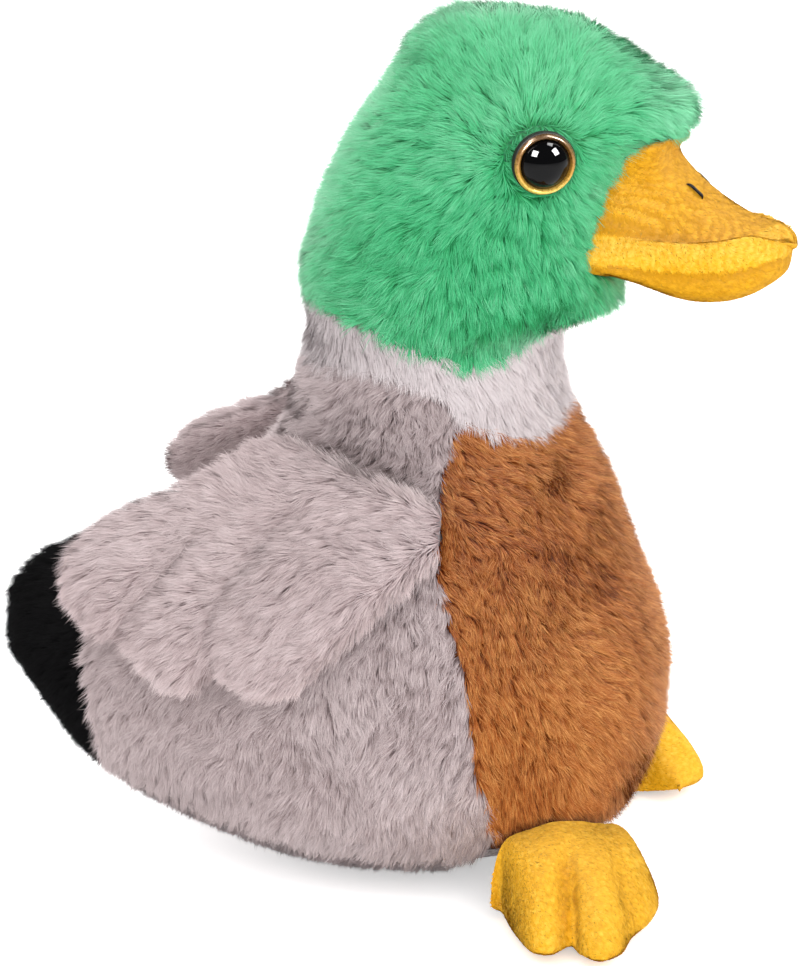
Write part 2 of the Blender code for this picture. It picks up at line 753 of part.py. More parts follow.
def gusset_seam():
    """Angles and spreads of the gusset's stations from the brow to just before the nape."""
    nape_turn = math.asin(GUSSET_NAPE_HALF_WIDTH / float(hull_plan(NECK_HEIGHT)[3]))
    nape = hull_point(neck_row(math.pi - nape_turn), math.pi - nape_turn) - CORE
    nape_angle = math.atan2(nape[2], nape[1]) % (2 * math.pi)
    nape_spread = math.asin(nape[0] / np.linalg.norm(nape))
    share = np.linspace(0, 1, GUSSET_STATIONS + 1) ** 1.3
    angles = GUSSET_START_ANGLE + share * (nape_angle - GUSSET_START_ANGLE)
    spreads = GUSSET_FRONT_SPREAD + share * (nape_spread - GUSSET_FRONT_SPREAD)
    return angles, spreads, nape_turn


def gusset_angles(angles, across):
    """The gusset comes to a point under the brow, where its sides start higher than its middle."""
    span = angles[-1] - angles[0]
    fade = np.clip(1 - 4 * (angles - angles[0]) / span, 0, 1)
    return angles + GUSSET_POINT_ANGLE * np.abs(across) * fade


def make_gusset(group):
    angles, spreads, nape_turn = gusset_seam()
    across = np.linspace(-1, 1, GUSSET_COLUMNS + 1)
    pointed = gusset_angles(angles[:, None], across)
    directions = head_direction(pointed, spreads[:, None] * across)
    outer = cast_from_core(directions)
    turns = math.pi - nape_turn * across
    outer[-1] = hull_point(neck_row(turns), turns)
    inner = toward_core(outer, LONG_PILE_THICKNESS)
    outer, inner = with_gaps(outer), with_gaps(inner)
    thick_patch("head_top_gusset", outer, inner, group, "green_pile")


def side_border():
    """The head side panel's edge: gusset seam, neck seam and the seam under the chin."""
    angles, spreads, nape_turn = gusset_seam()
    seam = cast_from_core(head_direction(gusset_angles(angles, 1.0)[:-1], spreads[:-1]))
    turns = np.linspace(math.pi - nape_turn, 0, NECK_SIDE_COLUMNS + 1)
    neck = hull_point(neck_row(turns), turns)
    brow = cast_from_core(head_direction(np.array(GUSSET_START_ANGLE), np.array(0.0)))
    heights = np.linspace(neck[-1, 2], brow[2], 7)[1:]
    chin = hull_point(heights, np.zeros(len(heights)))
    return np.concatenate([seam, neck, chin])


def make_head_sides(group):
    border = side_border()
    toward = border - CORE
    toward = toward / np.linalg.norm(toward, axis=-1, keepdims=True)
    pole = np.array((1.0, 0.0, 0.0))
    share = np.linspace(1, 0, HEAD_RINGS + 1)[:, None, None]
    outer = cast_from_core(toward[None] * share + pole * (1 - share))
    outer[0] = border
    outer[-1] = outer[-1, 0]
    inner = toward_core(outer, LONG_PILE_THICKNESS)
    outer, inner = (with_gaps(g, (True, False), (False, False)) for g in (outer, inner))
    panels = {}
    for word, side in (("right", -1), ("left", 1)):
        flip = np.array((side, 1.0, 1.0))
        name = word + "_head_panel"
        panels[side] = thick_patch(name, outer * flip, inner * flip, group, "green_pile", round_it=True)
    return panels


def make_head_fill(group):
    turns = np.linspace(0, 2 * math.pi, RING_COLUMNS - 4, endpoint=False)
    depth = LONG_PILE_THICKNESS + HEAD_STUFFING_CLEARANCE
    top = CROWN_HEIGHT - depth - LONG_PILE_THICKNESS / 2
    share = np.sin(np.linspace(0, math.pi / 2, 12))
    heights = NECK_HEIGHT + SEAM_GAP + (top - NECK_HEIGHT - SEAM_GAP) * share
    return stack_of_rings("head_stuffing", flat_rings(heights, turns, depth), group, "polyester_fill")


def bill_front(share):
    """How far forward a share of the bill's length is, from its base on the head."""
    return float(hull_point(BILL_SEAM_HEIGHT, 0.0)[1]) + share * BILL_LENGTH


def bill_loops():
    """The bill's sections from its base on the head to its tip, as loops that start at the ridge."""
    loops = []
    half_count = len(BILL_UPPER_SHARES)
    for reach, ridge, wide, lip, rise, belly in BILL_STATION_SHARES:
        half = wide * BILL_WIDTH / 2
        seam = BILL_SEAM_HEIGHT + rise * LIP_HEIGHT
        lip_top = lip * LIP_HEIGHT
        above = max(ridge * BILL_DEPTH_ABOVE - (seam - BILL_SEAM_HEIGHT), lip_top * 0.9)
        upper = [
            (out * half, seam + up * lip_top + over * (above - up * lip_top))
            for out, up, over in BILL_UPPER_SHARES
        ]
        lower = [(out * half, seam - down * belly * BILL_DEPTH_BELOW) for out, down in BILL_LOWER_SHARES]
        side = upper[::-1] + lower[1:]
        loop = side + [(-x, z) for x, z in side[-2:0:-1]]
        loops.append([(x, bill_front(reach), z) for x, z in loop])
    loops = np.array(loops)
    seat = bill_seat(loops[0])
    loops[0, :, 1] = seat
    second = loops[1, :, 1]
    loops[1, :, 1] = np.maximum(second, seat + (loops[2, :, 1] - seat) * 0.35)
    return loops, half_count


def bill_seat(points):
    """How far forward points of the bill's base are when they rest on the front of the head."""
    mid, back, front, half, back_power, front_power = hull_plan(points[:, 2])
    share = np.clip(np.abs(points[:, 0]) / half, 0, 1)
    return mid + front * (1 - share ** front_power) ** (1 / front_power) + BILL_SEAT_GAP


def make_bill(group):
    loops, half_count = bill_loops()
    centres = loops.mean(axis=1, keepdims=True)
    tip_height = centres[-1, 0, 2]
    tip = np.array((0.0, bill_front(1), tip_height))
    columns = loops.shape[1]

    def inset(depth):
        moved = []
        for i, loop in enumerate(loops):
            centre = centres[i, 0]
            flat = loop - centre
            flat[:, 1] = 0
            length = np.linalg.norm(flat, axis=-1, keepdims=True)
            moved.append(loop - flat / length * np.minimum(depth, length * 0.75))
        inner_tip = tip - np.array((0, depth, 0))
        rows = np.array(moved)
        rows[0, :, 1] = bill_seat(rows[0])
        rows[-1, :, 1] -= depth * 0.4
        rows[-2, :, 1] -= depth * 0.15
        return np.concatenate([rows, np.broadcast_to(inner_tip, (1, columns, 3))])

    outer = np.concatenate([loops, np.broadcast_to(tip, (1, columns, 3))])
    inner = inset(SHORT_PILE_THICKNESS)
    first = half_count - 1
    upper = np.arange(-first, first + 1)
    lower = np.arange(first, columns - first + 1)
    for name, picked in (("upper_bill", upper), ("lower_bill", lower)):
        parts = []
        for grid in (outer, inner):
            cut = with_gaps(grid[:, picked % columns], (False, False), (True, True))
            cut[-1] = grid[-1, 0]
            nudge = SEAM_GAP / 2 if name == "upper_bill" else -SEAM_GAP / 2
            cut[-1, :, 2] += nudge
            parts.append(cut)
        thick_patch(name, parts[0], parts[1], group, "yellow_pile")
    fill = inset(SHORT_PILE_THICKNESS + STUFFING_CLEARANCE)[:-2]
    start = centres[0] + (fill[0] - centres[0]) * 0.35
    start[:, 1] = bill_seat(start)
    stack_of_rings("bill_stuffing", np.concatenate([start[None], fill]), group, "polyester_fill")


def bill_top(side, front):
    """The bill's upper surface at a place, read from its sections."""
    loops, half_count = bill_loops()
    heights = []
    for loop in loops:
        half = loop[:half_count]
        order = np.argsort(half[:, 0])
        heights.append(np.interp(side, half[order, 0], half[order, 2]))
    reaches = loops[:, 0, 1]
    return float(np.interp(front, reaches, heights))


def make_stitches(group):
    """A short straight stitch of thread on each side of the bill's ridge for the nostrils."""
    for word, side in (("right", -1), ("left", 1)):
        ends = []
        for way in (-1, 0, 1):
            front = bill_front(STITCH_SHARES[0]) + way * STITCH_LENGTH * 0.42
            out = STITCH_SHARES[1] * BILL_WIDTH / 2 + way * STITCH_LENGTH * 0.1
            height = bill_top(out, front) + STITCH_RADIUS + SEAM_GAP
            ends.append((side * out, front, height))
        curve = bpy.data.curves.new(word + "_nostril_stitch", "CURVE")
        curve.dimensions = "3D"
        spline = curve.splines.new("POLY")
        spline.points.add(len(ends) - 1)
        for point, place in zip(spline.points, world(np.array(ends))):
            point.co = (*place, 1.0)
        curve.bevel_depth = STITCH_RADIUS
        curve.bevel_resolution = 1
        curve.use_fill_caps = True
        new_object(word + "_nostril_stitch", curve, group, "black_thread")


def eye_frame(side):
    """The matrix whose origin is on the head at the eye and whose Z points out of the head."""
    place = on_head(*EYE_SHARES)
    mid, back, front, half, back_power, front_power = hull_plan(place[2])
    share = (place[1] - mid) / front
    place[0] = half * (1 - share ** front_power) ** (1 / front_power)
    normal = world(hull_normal(place) * np.array((side, 1, 1)))
    place = world(place * np.array((side, 1, 1)))
    turn = Vector(normal).to_track_quat("Z", "Y").to_matrix().to_4x4()
    return Matrix.Translation(Vector(place)) @ turn


def turned(name, profile, frame, group, material, bored=False):
    """A solid turned about the frame's Z from a profile of (radius, height), from the top down.

    A bored one's profile is a loop that stays off the axis.
    """
    mesh = bpy.data.meshes.new(name)
    edges = [(i, i + 1) for i in range(len(profile) - 1)]
    if bored:
        edges.append((len(profile) - 1, 0))
    mesh.from_pydata([(r, 0, z) for r, z in profile], edges, [])
    shape = new_object(name, mesh, group, material)
    shape.matrix_world = frame
    screw = shape.modifiers.new("turn", "SCREW")
    screw.axis = "Z"
    screw.steps = DOME_SEGMENTS
    screw.render_steps = DOME_SEGMENTS
    screw.use_merge_vertices = True
    screw.merge_threshold = 0.00001
    screw.use_smooth_shade = True
    return shape


def cylinder_cutter(name, radius, low, high, frame, group):
    bpy.ops.mesh.primitive_cylinder_add(vertices=DOME_SEGMENTS, radius=radius, depth=high - low)
    shape = bpy.context.active_object
    shape.name = name
    for owner in list(shape.users_collection):
        owner.objects.unlink(shape)
    group.objects.link(shape)
    shape.matrix_world = frame @ Matrix.Translation((0, 0, (low + high) / 2))
    return mark_cutter(shape)


def make_eyes(group, cutters, panels, fill):
    """Safety eyes: a clear dome on a painted back whose shank takes a washer behind the fabric."""
    radius = EYE_DIAMETER / 2
    shank = SHANK_DIAMETER / 2
    seat = -EYE_SEAT_DEPTH
    back_low = seat + SEAM_GAP
    back_top = back_low + EYE_BACK_THICKNESS
    dome_low = back_top + SEAM_GAP
    washer_top = -LONG_PILE_THICKNESS - SEAM_GAP
    washer_low = washer_top - WASHER_THICKNESS
    shank_end = back_low - SHANK_LENGTH
    steps = np.linspace(0, math.pi / 2, 6)
    dome = [(radius * math.sin(a) * 0.94, dome_low + EYE_DOME_HEIGHT * math.cos(a)) for a in steps]
    dome.append((0.0, dome_low))
    back = [
        (0.0, back_top), (radius, back_top), (radius, back_low), (shank, back_low),
        (shank, shank_end), (0.0, shank_end),
    ]
    bore = shank + SEAM_GAP / 2
    washer = [
        (bore, washer_top), (WASHER_DIAMETER / 2, washer_top), (WASHER_DIAMETER / 2, washer_low),
        (bore, washer_low),
    ]
    for word, side in (("right", -1), ("left", 1)):
        frame = eye_frame(side)
        turned(word + "_eye_lens", dome, frame, group, "eye_clear")
        turned(word + "_eye_back", back, frame, group, "eye_gold")
        turned(word + "_eye_washer", washer, frame, group, "washer_plastic", bored=True)
        over = LONG_PILE_THICKNESS
        seat_cut = cylinder_cutter(
            word + "_eye_seat", radius + EYE_SEAT_CLEARANCE, seat, over, frame, cutters)
        hole = cylinder_cutter(
            word + "_eye_hole", shank + EYE_SEAT_CLEARANCE, washer_low, over, frame, cutters)
        behind = cylinder_cutter(
            word + "_eye_washer_seat", WASHER_DIAMETER / 2 + WASHER_POCKET_CLEARANCE,
            shank_end, washer_top + SEAM_GAP, frame, cutters)
        subtract(panels[side], seat_cut)
        subtract(panels[side], hole)
        subtract(panels[side], behind)
        pocket = cylinder_cutter(
            word + "_eye_pocket", WASHER_DIAMETER / 2 + WASHER_POCKET_CLEARANCE,
            shank_end - WASHER_POCKET_CLEARANCE, over, frame, cutters)
        subtract(fill, pocket)


def hull_side(front, height):
    """How far out the hull is at a distance forward and a height, or 0 beyond its ends."""
    mid, back, ahead, half, back_power, front_power = hull_plan(height)
    before = front >= mid
    power = np.where(before, front_power, back_power)
    share = np.clip(np.abs(front - mid) / np.where(before, ahead, back), 0, 1)
    return half * (1 - share ** power) ** (1 / power)


def wing_sheet(back, height):
    """How far out the wing's sheet is: it lies on the flank and leans in to its top edge."""
    flank = hull_side(WING_ROOT_FRONT - back, height) + WING_STAND_OFF
    top = WING_LEAN_SHARES[1] * NECK_HEIGHT
    leaning = WING_LEAN_SHARES[0] * BODY_WIDTH / 2 + (top - height) * math.tan(WING_LEAN)
    sharp = 14
    return (flank ** sharp + np.maximum(leaning, 0.0) ** sharp) ** (1 / sharp)


def crease_depth(column_share, row_share, ends, width_share):
    """A dip of up to 1 near the columns where creases end, fading towards the root."""
    dip = np.zeros(np.broadcast(column_share, row_share).shape)
    for end in ends:
        near = np.exp(-((column_share - end) / width_share) ** 2)
        dip = np.maximum(dip, near * np.clip((row_share - 0.25) / 0.5, 0, 1))
    return dip


def room_to_hull(points, direction, reach):
    """How far points can move along a direction, up to reach, before they meet the hull."""
    low = np.zeros(points.shape[:-1])
    high = np.full(points.shape[:-1], reach)
    for _ in range(30):
        middle = (low + high) / 2
        inside = hull_measure(points + direction * middle[..., None]) < 1
        high = np.where(inside, middle, high)
        low = np.where(inside, low, middle)
    return low


def rounded(row_share, column_share, power=2.2):
    """How full a cushion is: 1 in its middle and 0 at its outline, but not at its root."""
    far = 1 - row_share ** (2 * power)
    across = 1 - np.abs(2 * column_share - 1) ** (2 * power)
    return np.sqrt(np.clip(far, 0, 1)) * np.sqrt(np.clip(across, 0, 1))


def cushion(word, names, middle, top_out, low_out, outs, skin, group, material):
    """Two panels sewn at their outline and the fill between them.

    middle is the grid of the seam's sheet, top_out and low_out are how far each panel's outside is
    from it, and outs are the directions that the top panel faces.
    """
    half_gap = SEAM_GAP / 2
    top_in = np.maximum(top_out - skin, half_gap)
    low_in = np.maximum(low_out - skin, half_gap)

    def layer(distance):
        return middle + outs * distance[..., None]

    top = thick_patch(word + names[0], layer(top_out), layer(top_in), group, material)
    low = thick_patch(word + names[1], layer(-low_out), layer(-low_in), group, material)
    inner = (slice(1, -1), slice(1, -1))
    fill = thick_patch(
        word + names[2], layer(top_in - SEAM_GAP)[inner], layer(SEAM_GAP - low_in)[inner], group,
        "polyester_fill")
    return top, low, fill


def make_wings(group):
    outline = np.array(WING_OUTLINE_SHARES)
    column_share = np.linspace(0, 1, len(outline))
    row_share = np.linspace(0, 1, WING_ROWS + 1)[:, None]
    lobes = np.stack([outline[:, 0] * WING_LENGTH, WING_LOWEST_HEIGHT + outline[:, 1] * WING_HEIGHT])
    plain = np.array(lobes)
    for _ in range(3):
        plain[:, 1:-1] = (plain[:, :-2] + 2 * plain[:, 1:-1] + plain[:, 2:]) / 4
    backs, heights = plain
    root_heights = WING_ROOT_HEIGHT - WING_ROOT_DEPTH * column_share
    bend = 2 * row_share * (1 - row_share)
    bends = np.array(WING_BEND_SHARES)
    back_share, rise_share = (np.interp(column_share, bends[:, 0], bends[:, k]) for k in (1, 2))
    back = bend * backs * back_share + row_share ** 2 * backs
    bend_heights = root_heights + (heights - root_heights) * rise_share
    height = (1 - row_share) ** 2 * root_heights + bend * bend_heights + row_share ** 2 * heights
    near_outline = row_share ** 5
    back = back + near_outline * (lobes[0] - backs)
    height = height + near_outline * (lobes[1] - heights)
    middle = np.stack([wing_sheet(back, height), WING_ROOT_FRONT - back, height], -1)
    slope = wing_sheet(back, height - WING_EDGE) - wing_sheet(back, height + WING_EDGE)
    turn = wing_sheet(back + WING_EDGE, height) - wing_sheet(back - WING_EDGE, height)
    out = np.stack([np.full_like(slope, 2 * WING_EDGE), turn, slope], -1)
    out = out / np.linalg.norm(out, axis=-1, keepdims=True)
    swell = rounded(row_share, column_share) * np.clip(row_share / 0.35, 0, 1) ** 0.5
    dip = crease_depth(column_share, row_share, WING_CREASE_SHARES, 0.05)
    top_out = WING_EDGE + (WING_OUTER_LOFT - WING_EDGE) * swell - WING_CREASE * dip * swell
    low_out = WING_EDGE + (WING_INNER_LOFT - WING_EDGE) * swell
    low_out = np.minimum(low_out, room_to_hull(middle, -out, BODY_WIDTH / 2) - 2 * SEAM_GAP)
    names = ("_wing_outer_panel", "_wing_inner_panel", "_wing_wadding")
    root_line = middle[0, (0, -1), :]
    for word, side in (("right", -1), ("left", 1)):
        flip = np.array((side, 1.0, 1.0))
        pivot = hinge(word + "_wing_hinge", root_line * flip, group)
        for shape in cushion(
                word, names, middle * flip, top_out, low_out, out * flip, WING_SKIN, group,
                "grey_pile"):
            hang(shape, pivot)


def make_feet(group):
    outline = np.array(FOOT_OUTLINE_SHARES)
    column_share = np.linspace(0, 1, len(outline))
    row_share = np.linspace(0, 1, FOOT_ROWS + 1)[:, None]
    turns = FOOT_ROOT_BACK_TURN + (FOOT_ROOT_FRONT_TURN - FOOT_ROOT_BACK_TURN) * column_share
    root = hull_point(np.full(len(outline), FOOT_ROOT_HEIGHT), turns)
    toes = np.stack([outline[:, 1] * FOOT_SPREAD, FOOT_BACK + outline[:, 0] * FOOT_LENGTH], -1)
    plan = root[:, :2] * (1 - row_share[..., None]) + toes * row_share[..., None]
    seam = np.full(plan.shape[:2], FOOT_SEAM_HEIGHT)
    middle = np.concatenate([plan, seam[..., None]], -1)
    full = rounded(row_share, column_share)
    dip = crease_depth(column_share, row_share, TOE_CREASE_SHARES, 0.07) * full
    rise = FOOT_LOFT - FOOT_SEAM_HEIGHT
    up = np.array((0.0, 0.0, 1.0))
    top_out = FOOT_EDGE + (rise - FOOT_EDGE) * full - TOE_CREASE * dip
    top_out = np.minimum(top_out, room_to_hull(middle, up, rise + FOOT_LOFT) - 2 * SEAM_GAP)
    low_out = np.minimum(FOOT_EDGE + FOOT_SEAM_HEIGHT * full * 1.6, FOOT_SEAM_HEIGHT)
    names = ("_foot_top_panel", "_foot_sole", "_foot_stuffing")
    crease = root[(0, -1), :] + (root[len(root) // 2] - (root[0] + root[-1]) / 2)
    for word, side in (("right", -1), ("left", 1)):
        flip = np.array((side, 1.0, 1.0))
        pivot = hinge(word + "_foot_hinge", crease * flip, group)
        for shape in cushion(
                word, names, middle * flip, top_out, low_out, up, FOOT_SKIN, group, "yellow_pile"):
            hang(shape, pivot)


def main():
    clear_scene()
    duck = collection("plush_duck")
    cutters = collection("cutters")
    make_body_skins(duck)
    make_belly(duck)
    make_collar(duck)
    make_body_fill(duck)
    make_gusset(duck)
    panels = make_head_sides(duck)
    fill = make_head_fill(duck)
    make_bill(duck)
    make_stitches(duck)
    make_eyes(duck, cutters, panels, fill)
    make_wings(duck)
    make_feet(duck)


main()
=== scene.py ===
"""The looks of a sitting plush mallard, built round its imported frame.

Units are metres, +Z is up and the duck faces -Y. Its right side is -X. Points are worked out as
(side, front, height) and turned into the frame at the end. Every pile fabric is a knitted backing cloth
with its own fibres standing on it, which are cut, combed and gathered into tufts as the real ones are.
"""

import math

import bmesh
import bpy
import numpy as np
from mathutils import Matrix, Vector

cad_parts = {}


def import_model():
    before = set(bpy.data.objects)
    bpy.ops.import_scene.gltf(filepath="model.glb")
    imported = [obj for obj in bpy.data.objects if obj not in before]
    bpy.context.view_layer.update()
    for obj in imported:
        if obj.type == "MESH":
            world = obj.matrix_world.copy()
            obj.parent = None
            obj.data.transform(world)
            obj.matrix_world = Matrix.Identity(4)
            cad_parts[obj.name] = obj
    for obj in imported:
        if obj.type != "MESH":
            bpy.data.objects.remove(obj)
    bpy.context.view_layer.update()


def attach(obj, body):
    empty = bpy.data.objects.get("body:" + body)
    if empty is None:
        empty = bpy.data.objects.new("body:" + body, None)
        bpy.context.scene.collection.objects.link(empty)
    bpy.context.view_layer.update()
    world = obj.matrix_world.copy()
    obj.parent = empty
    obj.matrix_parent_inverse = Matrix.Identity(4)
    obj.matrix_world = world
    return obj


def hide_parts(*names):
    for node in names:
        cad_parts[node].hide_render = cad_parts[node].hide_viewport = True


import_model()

# Camera: the photograph's view of the duck's right side
CAMERA_TARGET = (0.0, -0.003, 0.077)
CAMERA_DISTANCE = 0.75
CAMERA_AZIMUTH = math.radians(-78)
CAMERA_ELEVATION = math.radians(17)
CAMERA_LENS = 139.75
TO_CAMERA = np.array((
    math.sin(CAMERA_AZIMUTH) * math.cos(CAMERA_ELEVATION),
    -math.cos(CAMERA_AZIMUTH) * math.cos(CAMERA_ELEVATION),
    math.sin(CAMERA_ELEVATION),
))

# The duck's own sizes, as in the frame
NECK_HEIGHT = 0.110
HEAD_HEIGHT = 0.0646
CROWN_HEIGHT = NECK_HEIGHT + HEAD_HEIGHT
TAIL_LENGTH = 0.0815
BREAST_DEPTH = 0.058
BODY_WIDTH = 0.096
BROW_DEPTH = 0.0612
HEAD_WIDTH = 0.063
EYE_SHARES = (0.5882, 0.6037)
BILL_SEAM_SHARE = 0.2554
BELLY_SEAM_HEIGHT = 0.009
TAIL_SEAM_DEPTH = 0.0285
BREAST_SEAM_FRONT = 0.019
BREAST_SEAM_SWEEP = 0.012
COLLAR_SEAM_HEIGHT = 0.0995
COLLAR_SEAM_TILT = 0.0050
NECK_SEAM_TILT = 0.0037
BILL_LENGTH = 0.0329
BILL_WIDTH = 0.029
BILL_DEPTH_ABOVE = 0.024
BILL_DEPTH_BELOW = 0.008
LIP_HEIGHT = 0.006
BILL_SEAT_GAP = 0.0012
EYE_DIAMETER = 0.012
EYE_FUR_REACH = 0.0066
WING_ROOT_FRONT = 0.019
WING_ROOT_HEIGHT = 0.0830
WING_ROOT_DEPTH = 0.0055
WING_LENGTH = 0.0755
WING_HEIGHT = 0.046
WING_LOWEST_HEIGHT = 0.046
WING_STAND_OFF = 0.0044
WING_LEAN_SHARES = (0.5625, 0.8)
WING_LEAN = math.radians(29)
WING_OUTER_LOFT = 0.0062
WING_INNER_LOFT = 0.0030
WING_EDGE = 0.0017
WING_CREASE = 0.0022
FOOT_ROOT_HEIGHT = 0.0095
FOOT_LENGTH = 0.032
FOOT_SPREAD = 0.0585
FOOT_BACK = 0.030
FOOT_SEAM_HEIGHT = 0.0036
FOOT_ROOT_TURNS = (math.radians(53), math.radians(13))

# Stations of the hull, as in the frame: height, back end, front end, half width, widest place
BODY_STATION_SHARES = (
    (0.000, 0.215, 0.480, 0.32, 0.03),
    (0.027, 0.330, 0.650, 0.55, 0.03),
    (0.073, 0.505, 0.790, 0.73, 0.03),
    (0.130, 0.695, 0.895, 0.845, 0.03),
    (0.200, 0.825, 0.960, 0.93, 0.03),
    (0.290, 0.920, 1.000, 0.985, 0.03),
    (0.380, 0.990, 1.000, 1.00, 0.03),
    (0.450, 0.985, 0.980, 0.99, 0.04),
    (0.515, 0.930, 0.940, 0.96, 0.05),
    (0.573, 0.775, 0.900, 0.92, 0.07),
    (0.630, 0.555, 0.865, 0.865, 0.09),
    (0.692, 0.405, 0.825, 0.79, 0.11),
    (0.765, 0.315, 0.765, 0.70, 0.14),
    (0.836, 0.255, 0.690, 0.62, 0.16),
    (0.918, 0.220, 0.635, 0.56, 0.17),
    (1.000, 0.200, 0.630, 0.54, 0.19),
)
HEAD_STATION_SHARES = (
    (0.120, 0.270, 0.790, 0.90, 0.24),
    (0.220, 0.270, 0.800, 0.96, 0.26),
    (0.340, 0.225, 0.785, 0.995, 0.28),
    (0.460, 0.185, 0.800, 1.00, 0.28),
    (0.570, 0.130, 0.880, 0.985, 0.28),
    (0.660, 0.080, 0.995, 0.935, 0.29),
    (0.740, 0.020, 1.000, 0.85, 0.30),
    (0.820, -0.025, 0.885, 0.745, 0.32),
    (0.900, -0.070, 0.760, 0.60, 0.33),
    (0.960, -0.135, 0.635, 0.40, 0.33),
    (1.000, -0.280, 0.330, 0.0, 0.31),
)
BODY_POWER_SHARES = (
    (0.00, 2.1, 2.1), (0.238, 1.9, 2.2), (0.476, 1.75, 2.2), (0.635, 1.70, 2.1),
    (0.794, 1.95, 2.1), (0.952, 2.1, 2.1),
)
HEAD_POWER_SHARES = ((0.405, 2.1, 2.0), (0.676, 2.1, 1.75), (1.00, 2.0, 2.0))
WING_OUTLINE_SHARES = (
    (0.390, 0.980), (0.520, 0.970), (0.590, 0.895), (0.670, 0.800), (0.760, 0.735),
    (0.870, 0.665), (0.942, 0.585), (1.000, 0.465), (0.990, 0.357), (0.947, 0.276),
    (0.891, 0.193), (0.830, 0.205), (0.776, 0.142), (0.706, 0.044), (0.631, 0.018),
    (0.596, 0.063), (0.567, 0.138), (0.507, 0.080), (0.428, 0.042), (0.365, 0.081),
    (0.308, 0.162),
)
WING_BEND_SHARES = (
    (0.00, 0.80, 1.35), (0.05, 0.80, 1.00), (0.25, 0.80, 0.75), (0.45, 0.80, 0.35),
    (0.80, 0.80, 0.25), (1.00, 0.50, 0.50),
)
WING_CREASE_PATHS = (
    ((0.48, 0.375), (0.56, 0.467), (0.69, 0.525), (0.79, 0.533), (1.00, 0.558)),
    ((0.31, 0.21), (0.33, 0.49), (0.48, 0.608), (0.65, 0.667), (0.94, 0.775), (1.00, 0.80)),
)
FOOT_OUTLINE_SHARES = (
    (0.02, 0.62), (0.12, 0.76), (0.24, 0.89), (0.34, 0.965), (0.455, 0.965), (0.54, 0.885),
    (0.62, 0.945), (0.75, 0.99), (0.86, 0.92), (0.885, 0.785), (0.955, 0.65), (0.97, 0.50),
    (0.905, 0.415), (0.79, 0.30),
)
TOE_CREASE_SHARES = (0.40, 0.70)
BILL_STATION_SHARES = (
    (0.00, 0.87, 1.00, 0.85, 0.10, 0.70),
    (0.25, 0.83, 0.97, 1.00, -0.05, 0.90),
    (0.42, 0.64, 0.95, 1.08, -0.12, 0.95),
    (0.60, 0.47, 0.90, 1.14, -0.08, 0.94),
    (0.76, 0.36, 0.76, 1.14, 0.04, 0.84),
    (0.90, 0.32, 0.58, 0.76, 0.24, 0.66),
    (0.975, 0.24, 0.32, 0.54, 0.32, 0.40),
)
BILL_UPPER_SHARES = (
    (0.93, 0.0, 0.0), (1.02, 0.45, 0.0), (0.93, 0.98, 0.0), (0.77, 0.86, 0.04),
    (0.58, 0.75, 0.40), (0.32, 0.60, 0.82), (0.00, 0.55, 1.0),
)
BILL_LOWER_SHARES = ((0.93, 0.0), (0.84, 0.55), (0.48, 0.90), (0.00, 1.0))

# Where the pile changes colour: turn in degrees, lower edge of the green, lower edge of the white
HEM_ROWS = (
    (0, 0.1124, 0.0955), (8, 0.1122, 0.0953), (20, 0.1119, 0.0942), (30, 0.1102, 0.0936),
    (46, 0.1079, 0.0939), (56, 0.1069, 0.0952), (67, 0.1063, 0.0985), (84, 0.1083, 0.1038),
    (104, 0.1114, 0.1056), (122, 0.1137, 0.1053), (148, 0.1165, 0.1045), (180, 0.1178, 0.1035),
)
# How far the pile hangs down over these edges
GREEN_HANG = 0.0026
WHITE_HANG = 0.0012
# Height and turn in degrees of the edge between brown and grey, turn and height of the belly's edge
BREAST_EDGE = (
    (0.0176, 59.5), (0.0241, 62.3), (0.0371, 64.9), (0.0505, 66.9), (0.0663, 71.2), (0.0736, 74.8),
    (0.0784, 74.8), (0.0841, 75.7), (0.0908, 75.4), (0.0985, 68.1),
)
BELLY_EDGE = (
    (0, 0.0095), (56, 0.0098), (70, 0.0098), (80, 0.0102), (97, 0.0120), (108, 0.0140), (119, 0.0168),
    (127, 0.0185), (180, 0.0195),
)
# Soft folds of the stuffed skin, as lines of side, front and height, and how much painted shade darkens
# the pile along each one
FOLDS = (
    (((0.0290, 0.0340, 0.0775), (0.0248, 0.0397, 0.0743), (0.0211, 0.0450, 0.0684),
      (0.0150, 0.0490, 0.0650)), 0.16),
    (((0.0150, -0.0190, 0.0905), (0.0188, -0.0146, 0.0909), (0.0260, -0.0053, 0.0919),
      (0.0294, 0.0028, 0.0910), (0.0320, 0.0090, 0.0880)), 0.30),
    (((0.0268, 0.0262, 0.1182), (0.0250, 0.0320, 0.1186), (0.0221, 0.0377, 0.1204)), 0.38),
    (((0.0258, 0.0230, 0.1150), (0.0245, 0.0290, 0.1155), (0.0225, 0.0335, 0.1165)), 0.30),
)
FOLD_WIDTH = 0.0030
# Where the top of the foot meets the breast: turn in degrees and height
FOOT_CONTACT = (
    (0, -0.01), (12, 0.0), (17, 0.0130), (24, 0.0150), (30, 0.0168), (37, 0.0190), (46, 0.0205),
    (52, 0.0195), (60, 0.0168), (64, 0.0), (180, -0.01),
)
FOOT_TOP_TURNS = (math.radians(60), math.radians(17))
FOOT_BULGE = 0.0056
TOE_DIP = 0.0011
# The left foot is turned out a little, and its inner edge drawn out
LEFT_FOOT_SPLAY = math.radians(8)
LEFT_FOOT_DRAW = 0.3
LEFT_FOOT_INNER_TURN = math.radians(38)

# The edge of the bill's base on the face, from its ridge down: side and height
BASE_EDGE = (
    (0.0, 0.1500), (0.0122, 0.1502), (0.0112, 0.1425), (0.0134, 0.1345), (0.0140, 0.1325),
    (0.0156, 0.1300), (0.0160, 0.1272), (0.0142, 0.1252), (0.0085, 0.1235), (0.0, 0.1225),
)
BILL_REACH_SHARE = 0.955
